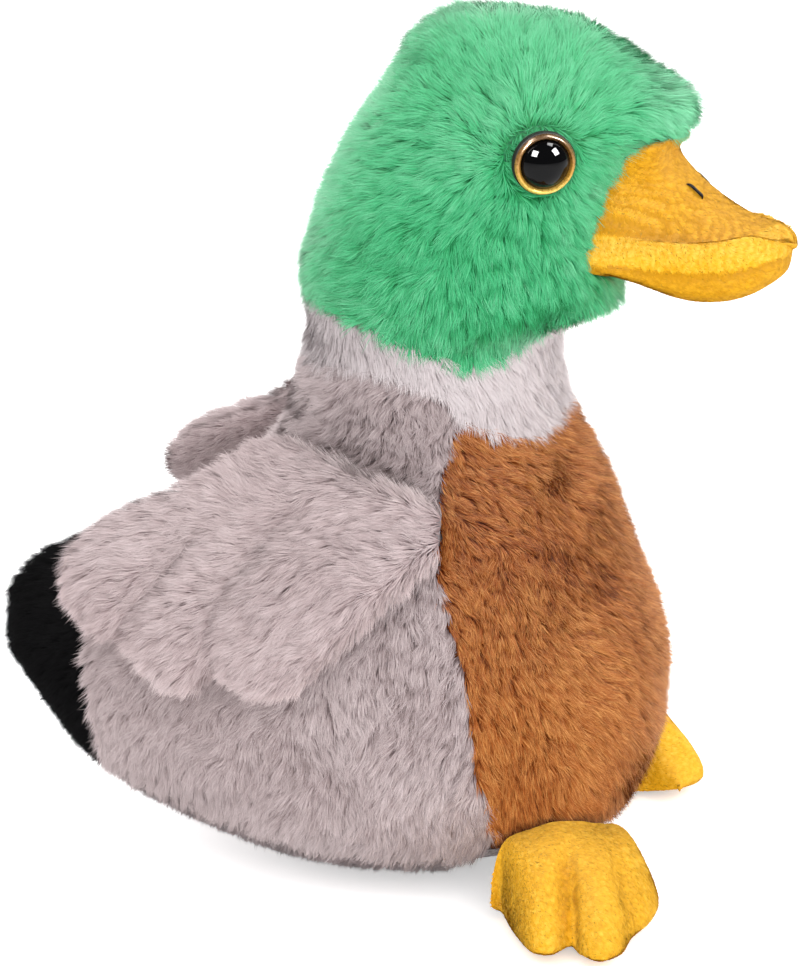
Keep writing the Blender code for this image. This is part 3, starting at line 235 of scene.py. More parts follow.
# The two nostril stitches, as shares of the way from base to tip and from ridge to lip seam
NOSTRIL_ENDS = ((0.322, 0.083), (0.396, 0.091))
NOSTRIL_THREAD = 0.00030
# The corner of the mouth, round which the velvet is crushed in arcs, and how far apart these and the
# ribs along the lip are
BILL_CORNER = np.array((0.0, 0.044, 0.122))
CRUSH_SPACING = 0.0015
LIP_RIB_SPACING = 0.0016

# Backing cloth under the pile
CLOTH_DEPTH = 0.0034
CLOTH_THICKNESS = 0.0005
WING_CLOTH_DEPTH = 0.0022
WING_CLOTH_REACH = 0.935
WING_CLOTH_MARGIN = 0.020
SHORT_CLOTH_DEPTH = 0.00035

RIGHT, LEFT = -1, 1
SIDES = (("right", RIGHT), ("left", LEFT))
UP = np.array((0.0, 0.0, 1.0))


def smooth_through(stations, values, where):
    """A smooth curve through values at the stations that never overshoots them, read at where."""
    x, y = np.asarray(stations, float), np.asarray(values, float)
    step, rise = np.diff(x), np.diff(y)
    slope = rise / step
    tangent = np.zeros_like(y)
    both = slope[:-1] * slope[1:] > 0
    before, after = 2 * step[1:] + step[:-1], step[1:] + 2 * step[:-1]
    inner = np.where(both, slope[:-1], 1.0), np.where(both, slope[1:], 1.0)
    blended = (before + after) / (before / inner[0] + after / inner[1])
    tangent[1:-1] = np.where(both, blended, 0.0)
    tangent[0], tangent[-1] = slope[0], slope[-1]
    w = np.clip(np.asarray(where, float), x[0], x[-1])
    i = np.clip(np.searchsorted(x, w, side="right") - 1, 0, len(step) - 1)
    t = (w - x[i]) / step[i]
    keep, move = (1 + 2 * t) * (1 - t) ** 2, t * t * (3 - 2 * t)
    lead, trail = t * (1 - t) ** 2, t * t * (t - 1)
    bend = step[i] * (lead * tangent[i] + trail * tangent[i + 1])
    return keep * y[i] + move * y[i + 1] + bend


def hull_stations():
    """Rows of height, back end, front end, half width and widest place, in metres."""
    rows = []
    for height, back, front, half, mid in BODY_STATION_SHARES:
        rows.append((
            height * NECK_HEIGHT, -back * TAIL_LENGTH, front * BREAST_DEPTH,
            half * BODY_WIDTH / 2, mid * BREAST_DEPTH,
        ))
    for height, back, front, half, mid in HEAD_STATION_SHARES:
        rows.append((
            NECK_HEIGHT + height * HEAD_HEIGHT, -back * HEAD_WIDTH,
            front * BROW_DEPTH, half * HEAD_WIDTH / 2, mid * BROW_DEPTH,
        ))
    return np.array(rows)


def plan_powers():
    """Rows of height in metres and the powers of the plan's back and front."""
    rows = [(height * NECK_HEIGHT, back, front) for height, back, front in BODY_POWER_SHARES]
    for height, back, front in HEAD_POWER_SHARES:
        rows.append((NECK_HEIGHT + height * HEAD_HEIGHT, back, front))
    return np.array(rows)


def on_head(front_share, height_share):
    """A place in the middle plane of the head, from its shares."""
    return np.array((0.0, front_share * BROW_DEPTH, NECK_HEIGHT + height_share * HEAD_HEIGHT))


STATIONS = hull_stations()
PLAN_POWERS = plan_powers()
BILL_SEAM_HEIGHT = float(on_head(0.0, BILL_SEAM_SHARE)[2])


def hull_plan(height):
    """The hull's plan at a height: widest place, back reach, front reach, half width and powers."""
    z = STATIONS[:, 0]
    mid = smooth_through(z, STATIONS[:, 4], height)
    squares = (
        (STATIONS[:, 4] - STATIONS[:, 1]) ** 2,
        (STATIONS[:, 2] - STATIONS[:, 4]) ** 2,
        STATIONS[:, 3] ** 2,
    )
    sizes = [np.sqrt(np.maximum(smooth_through(z, s, height), 0.0)) for s in squares]
    powers = [smooth_through(PLAN_POWERS[:, 0], PLAN_POWERS[:, k], height) for k in (1, 2)]
    return mid, sizes[0], sizes[1], sizes[2], powers[0], powers[1]


def hull_point(height, turn):
    """A point of the hull, as (side, front, height). Turn is 0 straight ahead, half a turn behind."""
    height, turn = np.broadcast_arrays(np.asarray(height, float), np.asarray(turn, float))
    mid, back, front, half, back_power, front_power = hull_plan(height)
    ahead = np.cos(turn) >= 0
    reach = np.where(ahead, front, back)
    share = 2 / np.where(ahead, front_power, back_power)
    forward = np.sign(np.cos(turn)) * np.abs(np.cos(turn)) ** share * reach
    side = np.sign(np.sin(turn)) * np.abs(np.sin(turn)) ** share * half
    return np.stack([side, mid + forward, height], -1)


def hull_measure(points):
    """Below 1 inside the hull, above 1 outside it."""
    p = np.asarray(points, float)
    mid, back, front, half, back_power, front_power = hull_plan(p[..., 2])
    tiny = CROWN_HEIGHT * 1e-6
    ahead = p[..., 1] >= mid
    reach = np.maximum(np.where(ahead, front, back), tiny)
    power = np.where(ahead, front_power, back_power)
    side = np.abs(p[..., 0]) / np.maximum(half, tiny)
    along = np.abs(p[..., 1] - mid) / reach
    measure = np.minimum(side, 1e3) ** power + np.minimum(along, 1e3) ** power
    beyond = np.maximum(p[..., 2] - CROWN_HEIGHT, 0.0) + np.maximum(-p[..., 2], 0.0)
    return measure + beyond / tiny


def hull_normal(points):
    """The outward direction at points of the hull."""
    p = np.asarray(points, float)
    step = CROWN_HEIGHT * 1e-4
    margin = CROWN_HEIGHT * 2e-4
    inside = np.array(p)
    inside[..., 2] = np.clip(p[..., 2], margin, CROWN_HEIGHT - margin)
    parts = []
    for k in range(3):
        d = np.zeros(3)
        d[k] = step
        parts.append(hull_measure(inside + d) - hull_measure(inside - d))
    return unit(np.stack(parts, -1))


def turn_at_front(height, front):
    """The turn at which the hull's ring at a height passes the plane at that distance forward."""
    mid, back, ahead, half, back_power, front_power = hull_plan(height)
    share = np.clip((front - mid) / np.where(front >= mid, ahead, back), -1, 1)
    power = np.where(front >= mid, front_power, back_power)
    return np.arccos(np.sign(share) * np.abs(share) ** (power / 2))


def unit(v):
    return v / np.maximum(np.linalg.norm(v, axis=-1, keepdims=True), 1e-12)


def dot(a, b):
    return np.sum(a * b, axis=-1, keepdims=True)


def world(points):
    """(side, front, height) as (x, y, z): the front is -Y and a positive side is +X."""
    p = np.asarray(points, float)
    return np.stack([p[..., 0], -p[..., 1], p[..., 2]], -1)


def collar_row(height, turns):
    """Heights round the hull for a row that tilts towards the breast near the collar."""
    start = STATIONS[12, 0]
    lift = np.clip((height - start) / (COLLAR_SEAM_HEIGHT - start), 0, 1)
    return height - lift * COLLAR_SEAM_TILT * np.cos(turns)


def neck_row(turns):
    """Heights round the hull of the seam between collar and head."""
    return NECK_HEIGHT - NECK_SEAM_TILT * np.cos(turns)


def breast_turn(heights):
    """The turn of the seam between breast and side, which sweeps forward towards the feet."""
    fall = np.clip(1 - heights / (COLLAR_SEAM_HEIGHT * 0.7), 0, 1)
    return turn_at_front(heights, BREAST_SEAM_FRONT + BREAST_SEAM_SWEEP * fall ** 1.5)


def grid_normals(grid):
    """Outward directions of a grid of points, from its own slopes."""
    down = np.gradient(grid, axis=0)
    along = np.gradient(grid, axis=1)
    return unit(np.cross(along, down))


def facing_normals(grid, facing):
    """The outward directions of a panel that mostly faces that way."""
    normals = grid_normals(grid)
    return normals * np.sign(np.median(dot(normals, facing)))


def finer(points, count, closed=False):
    """Points on a smooth curve through the given ones, count of them along the first axis."""
    p = np.asarray(points, float)
    n = len(p)
    t = np.linspace(0, n if closed else n - 1, count, endpoint=not closed)
    i = np.minimum(t.astype(int), n - 1 if closed else n - 2)
    u = (t - i).reshape((-1,) + (1,) * (p.ndim - 1))

    def at(k):
        return p[k % n] if closed else p[np.clip(k, 0, n - 1)]

    a, b, c, d = at(i - 1), at(i), at(i + 1), at(i + 2)
    return b + 0.5 * u * (c - a + u * (2 * a - 5 * b + 4 * c - d + u * (3 * (b - c) + d - a)))


# Hashed noise, so that every run draws the same


def hashed(cells, seed):
    """Three even random numbers for every row of whole numbers."""
    h = np.full(cells.shape[:-1], seed * 374761393 % 4294967296, np.uint32)
    for k, factor in enumerate((73856093, 19349663, 83492791)):
        h ^= cells[..., k].astype(np.int64).astype(np.uint32) * np.uint32(factor)
        h = (h ^ (h >> np.uint32(13))) * np.uint32(1274126177)
    out = []
    for _ in range(3):
        h = (h ^ (h >> np.uint32(15))) * np.uint32(2246822519)
        h ^= h >> np.uint32(13)
        out.append((h & np.uint32(0xFFFFFF)) / 16777216.0)
    return np.stack(out, -1)


def drift(points, size, seed):
    """Smooth noise in three directions, from -1 to 1, that changes over about size."""
    p = points / size
    cell = np.floor(p)
    f = p - cell
    f = f * f * (3 - 2 * f)
    total = np.zeros(points.shape)
    for corner in range(8):
        step = np.array((corner & 1, corner >> 1 & 1, corner >> 2 & 1))
        weight = np.prod(np.where(step, f, 1 - f), axis=-1, keepdims=True)
        total += weight * hashed(cell + step, seed)
    return 2 * total - 1


def nearest_tuft(points, size, seed):
    """Each point's own tuft: the way to its middle and three random numbers that the tuft shares."""
    cell = np.floor(points / size)
    best = np.full(len(points), np.inf)
    way = np.zeros(points.shape)
    shared = np.zeros(points.shape)
    for k in range(27):
        near = cell + np.array((k % 3 - 1, k // 3 % 3 - 1, k // 9 - 1))
        dice = hashed(near, seed)
        to = (near + dice) * size - points
        far = np.sum(to * to, axis=-1)
        closer = far < best
        best = np.where(closer, far, best)
        way[closer] = to[closer]
        shared[closer] = dice[closer] * 7.31 % 1.0
    return way, shared


def near_line(points, line, width):
    """How near points are to a line of places: 1 on it, fading away over the width."""
    line = np.asarray(line, float)
    nearest = np.full(points.shape[:-1], np.inf)
    for a, b in zip(line[:-1], line[1:]):
        way = b - a
        share = np.clip(np.sum((points - a) * way, -1) / np.sum(way * way), 0, 1)
        nearest = np.minimum(nearest, np.linalg.norm(points - a - share[..., None] * way, axis=-1))
    return np.exp(-(nearest / width) ** 2)


# Meshes and pieces


def linked(name, data):
    """A new object in the scene that shows a mesh, a lamp or a camera."""
    made = bpy.data.objects.new(name, data)
    bpy.context.scene.collection.objects.link(made)
    return made


def finished(name, mesh, material, body):
    """A piece of one material that rides a body and takes its finish from the material's slot."""
    mesh.materials.append(material)
    piece = linked(name, mesh)
    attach(piece, body)
    return piece


def new_piece(name, points, faces, material, body):
    """A smooth piece from points and faces, with its faces turned outward."""
    mesh = bpy.data.meshes.new(name)
    mesh.from_pydata([tuple(p) for p in world(points)], [], faces)
    work = bmesh.new()
    work.from_mesh(mesh)
    bmesh.ops.recalc_face_normals(work, faces=work.faces)
    if work.calc_volume(signed=True) < 0:
        bmesh.ops.reverse_faces(work, faces=work.faces)
    work.to_mesh(mesh)
    work.free()
    mesh.shade_smooth()
    return finished(name, mesh, material, body)


def grid_faces(rows, columns, round_it=False):
    """The faces between the points of a grid, row by row, as rows of four corners."""
    last = columns if round_it else columns - 1
    i, j = np.meshgrid(np.arange(rows - 1), np.arange(last), indexing="ij")
    i, j, k = i.ravel() * columns, j.ravel(), (j.ravel() + 1) % columns
    return np.stack([i + j, i + k, i + columns + k, i + columns + j], -1)


def tube_faces(rings, sides):
    """The faces of a row of rings, closed at both ends."""
    count = rings * sides
    return list(map(tuple, grid_faces(rings, sides, True))) + [
        tuple(range(sides)), tuple(range(count - sides, count))]


def cloth_between(name, outer, inner, material, body, round_it=False):
    """A panel of cloth between two grids of points, with walls at its edges."""
    rows, columns = outer.shape[:2]
    count = rows * columns
    sheet = grid_faces(rows, columns, round_it)
    faces = list(map(tuple, sheet)) + list(map(tuple, count + sheet[:, ::-1]))
    for start in (0, count - columns):
        for a in range(columns if round_it else columns - 1):
            p, q = start + a, start + (a + 1) % columns
            faces.append((p, count + p, count + q, q))
    if not round_it:
        for column in (0, columns - 1):
            for a in range(rows - 1):
                p, q = a * columns + column, (a + 1) * columns + column
                faces.append((p, count + p, count + q, q))
    points = np.concatenate([outer.reshape(-1, 3), inner.reshape(-1, 3)])
    return new_piece(name, points, faces, material, body)


def between(grid, i, j, u, v):
    """Where a grid is at shares u and v of the way past its rows i and columns j."""
    return ((1 - u) * ((1 - v) * grid[i, j] + v * grid[i, j + 1])
            + u * ((1 - v) * grid[i + 1, j] + v * grid[i + 1, j + 1]))


def closed_up(grid):
    """A grid whose first column also comes last."""
    return np.concatenate([grid, grid[:, :1]], axis=1)


def face_areas(grid):
    """The area of each face between a grid's points."""
    a, b, c, d = grid[:-1, :-1], grid[:-1, 1:], grid[1:, 1:], grid[1:, :-1]
    return np.linalg.norm(np.cross(c - a, d - b), axis=-1) / 2


def scatter(grid, normals, count, rng):
    """Even random places on a grid's surface: point, normal, and row and column as they were drawn."""
    area = face_areas(grid)
    pick = np.searchsorted(np.cumsum(area.ravel()) / area.sum(), np.sort(rng.random(count)))
    pick = np.minimum(pick, area.size - 1)
    i, j = pick // area.shape[1], pick % area.shape[1]
    u, v = rng.random((2, count, 1))
    points, ways = (between(g, i, j, u, v) for g in (grid, normals))
    return points, unit(ways), i + u[:, 0], j + v[:, 0]


# Pile fabrics: fibre length and width, angle at the cloth and at the tip, tuft size, how far tufts and
# wisps gather, how much tufts turn about, how curly it is, how unlike neighbouring fibres are, and
# fibres to the square millimetre
PILES = {
    "head": (0.0051, 0.00014, 0.96, 0.54, 0.0024, 0.26, 0.13, 0.80, 0.65, 0.30, 19),
    "collar": (0.0048, 0.00014, 0.92, 0.50, 0.0020, 0.14, 0.06, 0.60, 0.40, 0.16, 19),
    "breast": (0.0042, 0.00013, 1.04, 0.70, 0.0018, 0.28, 0.26, 0.80, 0.65, 0.70, 21),
    "flank": (0.0046, 0.00013, 0.94, 0.54, 0.0019, 0.26, 0.15, 0.75, 0.60, 0.34, 19),
    "neck": (0.0042, 0.00013, 1.02, 0.70, 0.0017, 0.22, 0.14, 1.20, 0.95, 0.30, 19),
    "tail": (0.0042, 0.00015, 0.90, 0.52, 0.0020, 0.32, 0.20, 0.50, 0.40, 0.18, 12),
    "belly": (0.0030, 0.00015, 0.90, 0.56, 0.0016, 0.20, 0.12, 0.60, 0.40, 0.15, 14),
    "wing": (0.0048, 0.00014, 0.82, 0.42, 0.0021, 0.25, 0.12, 0.65, 0.55, 0.26, 20),
    "under_wing": (0.0036, 0.00014, 0.70, 0.34, 0.0018, 0.22, 0.16, 0.60, 0.40, 0.20, 14),
    "velboa": (0.0008, 0.00021, 0.36, 0.20, 0.0011, 0.08, 0.04, 0.40, 0.45, 0.14, 32),
    "sole": (0.0007, 0.00024, 0.36, 0.20, 0.0011, 0.08, 0.04, 0.40, 0.45, 0.14, 18),
}
MOST_FIBRES = 60000
# All pile: wisp size to tuft size, how widely fibres are combed, how many stray, how far blades lean
WISP_SHARE = 0.38
COMB_SPREAD = 0.17
STRAY_SHARE = 0.06
BLADE_LEAN = 0.16
# How much of each fibre stands below its bend
LOWER_SHARE = 0.45


def fibre_count(key, grid):
    """How many fibres of a pile fabric stand on a grid's surface."""
    area = float(face_areas(grid).sum())
    return int(area * 1e6 * PILES[key][10] * (1.0))


def pile(name, key, body, material, roots, normals, flow, rng, length=1.0, shade=0.0, contrast=1.0,
         seed=1):
    """Cut fibres standing on a cloth, in pieces of at most MOST_FIBRES from the bottom up.

    Each fibre is a tapered blade that rises and bends along the comb. Its tip gathers with its
    neighbours' into fine wisps, and these into tufts that dome, turn and part as brushed plush does.
    length is a share of the fabric's own length, shade lightens or darkens fibres, and contrast is how
    far they differ from each other.
    """
    count = len(roots)
    own_length, width, low, high, tuft, gather, wisp_gather, turning, curl, unlike, _ = PILES[key]
    n = normals
    # Which tuft and which wisp in it each fibre belongs to
    way, dice = nearest_tuft(roots, tuft, seed)
    wisp, wisp_dice = nearest_tuft(roots, tuft * WISP_SHARE, seed + 3)
    way, wisp = way - n * dot(way, n), wisp - n * dot(wisp, n)
    valley = np.clip(np.linalg.norm(way, axis=-1, keepdims=True) / (0.62 * tuft), 0, 1) ** 2
    # The way that it is combed: along the flow, drifting about, and turned with its tuft
    sway = drift(roots, 0.012, seed + 5) * curl + drift(roots, 0.004, seed + 7) * curl * 0.8
    f = unit(flow + sway + rng.normal(0, COMB_SPREAD, (count, 3)))
    f = unit(f - n * dot(f, n))
    about = (dice[:, :1] - 0.5) * turning + (wisp_dice[:, :1] - 0.5) * 0.35 * turning
    f = f * np.cos(about) + np.cross(n, f) * np.sin(about)
    # Its length and rise, which change by the patch, the tuft and the fibre, and fall between tufts
    patch = drift(roots, 0.015, seed + 11)[:, :1]
    stray = rng.random((count, 1)) < STRAY_SHARE
    size = own_length * np.broadcast_to(length, (count,))[:, None] * (
        1 + 0.07 * patch + rng.normal(0, 0.08, (count, 1)) + 0.20 * (dice[:, 1:2] - 0.5)
        - 0.14 * valley + 0.18 * stray)
    rise = (0.20 * (dice[:, 2:] - 0.5) + 0.10 * patch + rng.normal(0, 0.09, (count, 1))
            - 0.08 * valley + 0.15 * stray) * min(1.0, low)
    first = n * np.sin(low + rise) + f * np.cos(low + rise)
    last = n * np.sin(high + rise) + f * np.cos(high + rise)
    middle = roots + size * LOWER_SHARE * first + way * gather * 0.35 + wisp * wisp_gather * 0.5
    tip = middle + size * (1 - LOWER_SHARE) * last + way * gather * 0.65 + wisp * wisp_gather * 0.5
    for end in (middle, tip):
        end[:, 2] = np.maximum(end[:, 2], CLOTH_THICKNESS)
    # The blade's own turn and width
    axis = unit(tip - roots)
    flat = unit(np.cross(axis, n))
    lean = rng.normal(0, BLADE_LEAN, (count, 1))
    across = unit(flat * np.cos(lean) + np.cross(axis, flat) * np.sin(lean))
    half = width * (0.8 + 0.4 * rng.random((count, 1))) / 2
    points = np.stack(
        [roots - across * half, roots + across * half, middle - across * half * 0.9,
         middle + across * half * 0.9, tip], axis=1)
    # The soft normal is mostly the cloth's, domed over the tuft, so that light falls as on a mass
    blade = np.cross(across, axis)
    blade = blade * np.sign(dot(blade, n) + 1e-9)
    bend = 0.42 if key in ("velboa", "sole") else 0.15
    soft = unit(n * 0.90 - way / tuft * 0.36 - wisp / tuft * 0.15 + blade * 0.12 + f * bend)
    # Tints differ at random by tuft, wisp, patch and fibre, and painted light and shade make each tuft
    # lighter in its middle and darker at its edges
    varied = (0.16 * (dice[:, 1] - 0.5) + 0.14 * (wisp_dice[:, 1] - 0.5) + 0.12 * patch[:, 0]
              + unlike * (rng.random(count) - 0.5) - 0.18 * (valley[:, 0] - 0.4))
    tint = np.clip(0.50 + contrast * varied + shade, 0, 1)
    order = np.argsort(roots[:, 2], kind="stable")
    parts = max(1, math.ceil(count / MOST_FIBRES))
    for k, picked in enumerate(np.array_split(order, parts)):
        part = name if parts == 1 else f"{name}_{k + 1}"
        blades(part, body, material, points[picked], soft[picked], tint[picked])


def blades(name, body, material, points, soft, tint):
    """A piece of fibres from five points each, with their soft normals and tints."""
    count = len(points)
    mesh = bpy.data.meshes.new(name)
    mesh.vertices.add(count * 5)
    mesh.vertices.foreach_set("co", world(points).astype(np.float32).ravel())
    start = (np.arange(count) * 5)[:, None]
    corners = (start + np.array((1, 0, 2, 3, 3, 2, 4))).astype(np.int32)
    mesh.loops.add(count * 7)
    mesh.loops.foreach_set("vertex_index", corners.ravel())
    mesh.polygons.add(count * 2)
    mesh.polygons.foreach_set(
        "loop_start", ((np.arange(count) * 7)[:, None] + np.array((0, 4))).astype(np.int32).ravel())
    mesh.update(calc_edges=True)
    along = np.broadcast_to(np.array((0.0, 0.0, 0.5, 0.5, 1.0), np.float32), (count, 5))
    mesh.attributes.new("along", "FLOAT", "POINT").data.foreach_set("value", along.ravel())
    mesh.attributes.new("tint", "FLOAT", "POINT").data.foreach_set(
        "value", np.repeat(tint.astype(np.float32), 5))
    mesh.shade_smooth()
    normal = mesh.attributes.new("custom_normal", "FLOAT_VECTOR", "POINT")
    normal.data.foreach_set("vector", np.repeat(world(soft).astype(np.float32), 5, axis=0).ravel())
    return finished(name, mesh, material, body)


# Materials


def linear(hexes):
    """An sRGB hex colour as linear red, green, blue and alpha."""
    parts = [int(hexes[k:k + 2], 16) / 255 for k in (1, 3, 5)]
    return tuple(c / 12.92 if c <= 0.04045 else ((c + 0.055) / 1.055) ** 2.4 for c in parts) + (1.0,)


def feed(tree, node, **inputs):
    """Gives a node's inputs, by name or by number, a value or another node's output."""
    for key, value in inputs.items():
        at = int(key[1:]) if key[1:].isdigit() and key[0] == "i" else key.replace("_", " ")
        socket = node.inputs[at]
        if isinstance(value, bpy.types.NodeSocket):
            tree.links.new(value, socket)
        else:
            socket.default_value = value


def add_node(tree, kind, settings=(), stops=(), **inputs):
    """A node with its settings and links. A ramp's stops are a place and a hex colour or grey each."""
    node = tree.nodes.new(kind)
    for key, value in dict(settings).items():
        setattr(node, key, value)
    if stops:
        elements = node.color_ramp.elements
        while len(elements) < len(stops):
            elements.new(0.5)
        for element, (place, color) in zip(elements, stops):
            element.position = place
            element.color = linear(color) if isinstance(color, str) else (color, color, color, 1.0)
    feed(tree, node, **inputs)
    return node


RAMP = "ShaderNodeValToRGB"
# Sizes of the patterns in the materials: a loop of the backing's knit in metres, and how many plies of
# the thread, marblings of the washer and grains of the lacquer come to the metre
KNIT_LOOP = 0.0006
THREAD_PLIES = 1100.0
WASHER_MARBLING = 400.0
LACQUER_GRAINS = 1800.0


def new_material(name):
    """A material with only its Principled shader and output."""
    made = bpy.data.materials.new(name)
    made.use_nodes = True
    tree = made.node_tree
    return made, tree, tree.nodes["Principled BSDF"]


def fibre_material(name, dark, middle, light, root, sheen=0.4, halo="#ffffff", gloss=0.12):
    """Dyed polyester pile: bright at the cut tips, and painted darker and fuller in colour towards the
    roots, a painted shade that shows between the tufts.

    Fibres that stand on the outline catch the light and go pale, which the sheen gives.
    """
    made, tree, shader = new_material(name)
    tint, along = (add_node(tree, "ShaderNodeAttribute", {"attribute_name": word}).outputs["Fac"]
                   for word in ("tint", "along"))
    dye = add_node(tree, RAMP, stops=((0.0, dark), (0.45, middle), (1.0, light)), i0=tint)
    # Painted shade: each fibre's colour is multiplied down towards its root colour near the cloth
    root_shade = add_node(tree, RAMP, stops=((0.0, root), (0.7, "#ffffff")), i0=along)
    both = add_node(tree, "ShaderNodeMix", {"data_type": "RGBA", "blend_type": "MULTIPLY"},
                    i0=1.0, i6=dye.outputs[0], i7=root_shade.outputs[0])
    rough = add_node(tree, RAMP, stops=((0.0, 0.95), (1.0, 0.75)), i0=along)
    feed(tree, shader, Base_Color=both.outputs[2], Roughness=rough.outputs[0], Normal=both_sided(tree),
         Specular_IOR_Level=gloss, Sheen_Weight=sheen, Sheen_Roughness=0.45, Sheen_Tint=linear(halo))
    return made


def both_sided(tree):
    """The soft normal of a blade, mirrored where it is behind the side that shows, so that both sides
    of a fibre are lit alike."""
    face = add_node(tree, "ShaderNodeNewGeometry").outputs
    turn = add_node(tree, "ShaderNodeMapRange", Value=face["Backfacing"], i3=1.0, i4=-1.0).outputs[0]
    soft = add_node(tree, "ShaderNodeVectorMath", {"operation": "SCALE"}, i0=face["Normal"],
                    Scale=turn).outputs[0]
    meet = add_node(tree, "ShaderNodeVectorMath", {"operation": "DOT_PRODUCT"}, i0=soft,
                    i1=face["True Normal"]).outputs["Value"]
    behind = add_node(tree, "ShaderNodeMath", {"operation": "MINIMUM"}, i0=meet, i1=0.0).outputs[0]
    push = add_node(tree, "ShaderNodeMath", {"operation": "MULTIPLY"}, i0=behind, i1=-2.0).outputs[0]
    side = add_node(tree, "ShaderNodeVectorMath", {"operation": "SCALE"}, i0=face["True Normal"],
                    Scale=push).outputs[0]
    total = add_node(tree, "ShaderNodeVectorMath", {"operation": "ADD"}, i0=soft, i1=side).outputs[0]
    return add_node(tree, "ShaderNodeVectorMath", {"operation": "NORMALIZE"}, i0=total).outputs[0]


def grained(name, kind, settings, scale, by, colors, roughness, bump, specular=None, **inputs):
    """A material whose colour, roughness and relief all follow one texture's output called by.

    scale is in repeats to the metre, and bump is the relief's strength and height in metres.
    """
    made, tree, shader = new_material(name)
    place = add_node(tree, "ShaderNodeTexCoord").outputs["Object"]
    grain = add_node(tree, kind, settings, Vector=place, Scale=scale, **inputs).outputs[by]
    color, rough = (add_node(tree, RAMP, stops=stops, i0=grain) for stops in (colors, roughness))
    relief = add_node(tree, "ShaderNodeBump", Strength=bump[0], Distance=bump[1], Height=grain)
    feed(tree, shader, Base_Color=color.outputs[0], Roughness=rough.outputs[0],
         Normal=relief.outputs["Normal"])
    if specular is not None:
        feed(tree, shader, Specular_IOR_Level=specular)
    return made


def backing_material(name, color):
    """Knitted backing cloth: rows of fine loops, dull, a shade deeper than the pile that it carries."""
    return grained(
        name, "ShaderNodeTexVoronoi", {"feature": "F1"}, 1 / KNIT_LOOP, "Distance",
        ((0.0, color), (0.8, darker(color, 0.7))), ((0.0, 0.85), (1.0, 1.0)), (0.6, KNIT_LOOP / 3), 0.2)


def darker(color, share):
    """A hex colour with each of its sRGB parts at that share."""
    parts = [round(int(color[k:k + 2], 16) * share) for k in (1, 3, 5)]
    return "#%02x%02x%02x" % tuple(parts)


# Each pile's dark, middle and light dye, then the root colour, painted shade low in the pile, and its
# sheen, sheen tint and gloss
GREEN = fibre_material("green_dyed_plush", "#0c8445", "#44ba7c", "#84d8a8", "#7acfa5", 0.7, "#dcf7e6")
WHITE = fibre_material("white_plush", "#c0b3b4", "#d7cccd", "#eae2e3", "#ece4e5", 0.2)
GREY = fibre_material("warm_grey_plush", "#7d6c6a", "#b9a8a8", "#dfd0d0", "#b9aaaa", 0.45, "#fff2f2")
PALE_GREY = fibre_material("pale_wing_plush", "#978585", "#c0adad", "#dfcfcf", "#c3b4b4", 0.45,
                           "#fff2f2")
BELLY_GREY = fibre_material("pinkish_white_plush", "#cfc0c1", "#eee2e3", "#faf3f3", "#e0d3d3", 0.3)
BROWN = fibre_material("chestnut_plush", "#562407", "#ad5c22", "#dd9b55", "#ae7653", 0.3, "#ffd9b0")
BLACK = fibre_material("black_short_plush", "#020202", "#040405", "#09090a", "#808080", 0.0, gloss=0.04)
GOLD = fibre_material("golden_velboa", "#c98f0e", "#ebb01e", "#fad658", "#fff4d8", 0.03, "#ffe9a0")
GREEN_CLOTH = backing_material("green_backing_knit", "#2f9c62")
WHITE_CLOTH = backing_material("white_backing_knit", "#cdc4c6")
GREY_CLOTH = backing_material("grey_backing_knit", "#8f8283")
BROWN_CLOTH = backing_material("chestnut_backing_knit", "#7a4016")
BLACK_CLOTH = backing_material("black_backing_knit", "#070708")
GOLD_CLOTH = backing_material("golden_backing_knit", "#f6b820")


# Mercerised black embroidery thread: a tight twist of two plies with a faint gloss
THREAD = grained(
    "black_embroidery_thread", "ShaderNodeTexWave", {"bands_direction": "DIAGONAL"}, THREAD_PLIES, "Fac",
    ((0.2, "#050302"), (0.9, "#120b09")), ((0.0, 0.7), (1.0, 0.45)), (0.5, 0.0001), 0.1, Distortion=1.5)
# Natural moulded polypropylene: milky, slightly waxy, faintly marbled by the flow
WASHER = grained(
    "natural_polypropylene", "ShaderNodeTexNoise", {}, WASHER_MARBLING, "Fac",
    ((0.3, "#d8d6cf"), (0.7, "#eae8e2")), ((0.3, 0.55), (0.7, 0.42)), (0.15, 0.0002), Detail=4.0)


# Body, collar and head


def hull_heights():
    """Heights from the base to the crown, closer together where the hull turns over."""
    share = np.linspace(0, 1, 260)
    eased = share * 0.5 + 0.5 * (1 - np.cos(share * math.pi)) / 2
    heights = eased * CROWN_HEIGHT
    top = CROWN_HEIGHT * (1 - (1 - np.linspace(0, 1, 60)) ** 3 * 0.03)
    return np.concatenate([heights[heights < top[0]], top])


HULL_HEIGHTS = hull_heights()
HULL_TURNS = np.linspace(0, 2 * math.pi, 360, endpoint=False)
HULL = hull_point(HULL_HEIGHTS[:, None], HULL_TURNS[None])
CROWN_SHARE = np.clip((HULL[..., 2:] / CROWN_HEIGHT - 0.992) / 0.007, 0, 1)
HULL_NORMALS = unit(hull_normal(HULL) * (1 - CROWN_SHARE) + UP * CROWN_SHARE)


def cloth_layers(skin):
    """The outer and inner face of the backing cloth under the skin, kept clear of the floor."""
    normals = hull_normal(skin)
    outer = skin - normals * CLOTH_DEPTH
    inner = skin - normals * (CLOTH_DEPTH + CLOTH_THICKNESS)
    outer[..., 2] = np.maximum(outer[..., 2], CLOTH_THICKNESS)
    inner[..., 2] = np.maximum(inner[..., 2], 2 * CLOTH_THICKNESS)
    return outer, inner


def hull_cloth(name, heights, left, right, columns, material, side=1):
    """A panel of backing cloth between two turns at every row."""
    share = np.linspace(0, 1, columns + 1)
    turns = left[:, None] + (right - left)[:, None] * share
    layers = cloth_layers(hull_point(collar_row(heights[:, None], turns), turns))
    outer, inner = (layer * np.array((side, 1.0, 1.0)) for layer in layers)
    return cloth_between(name, outer, inner, material, "body")


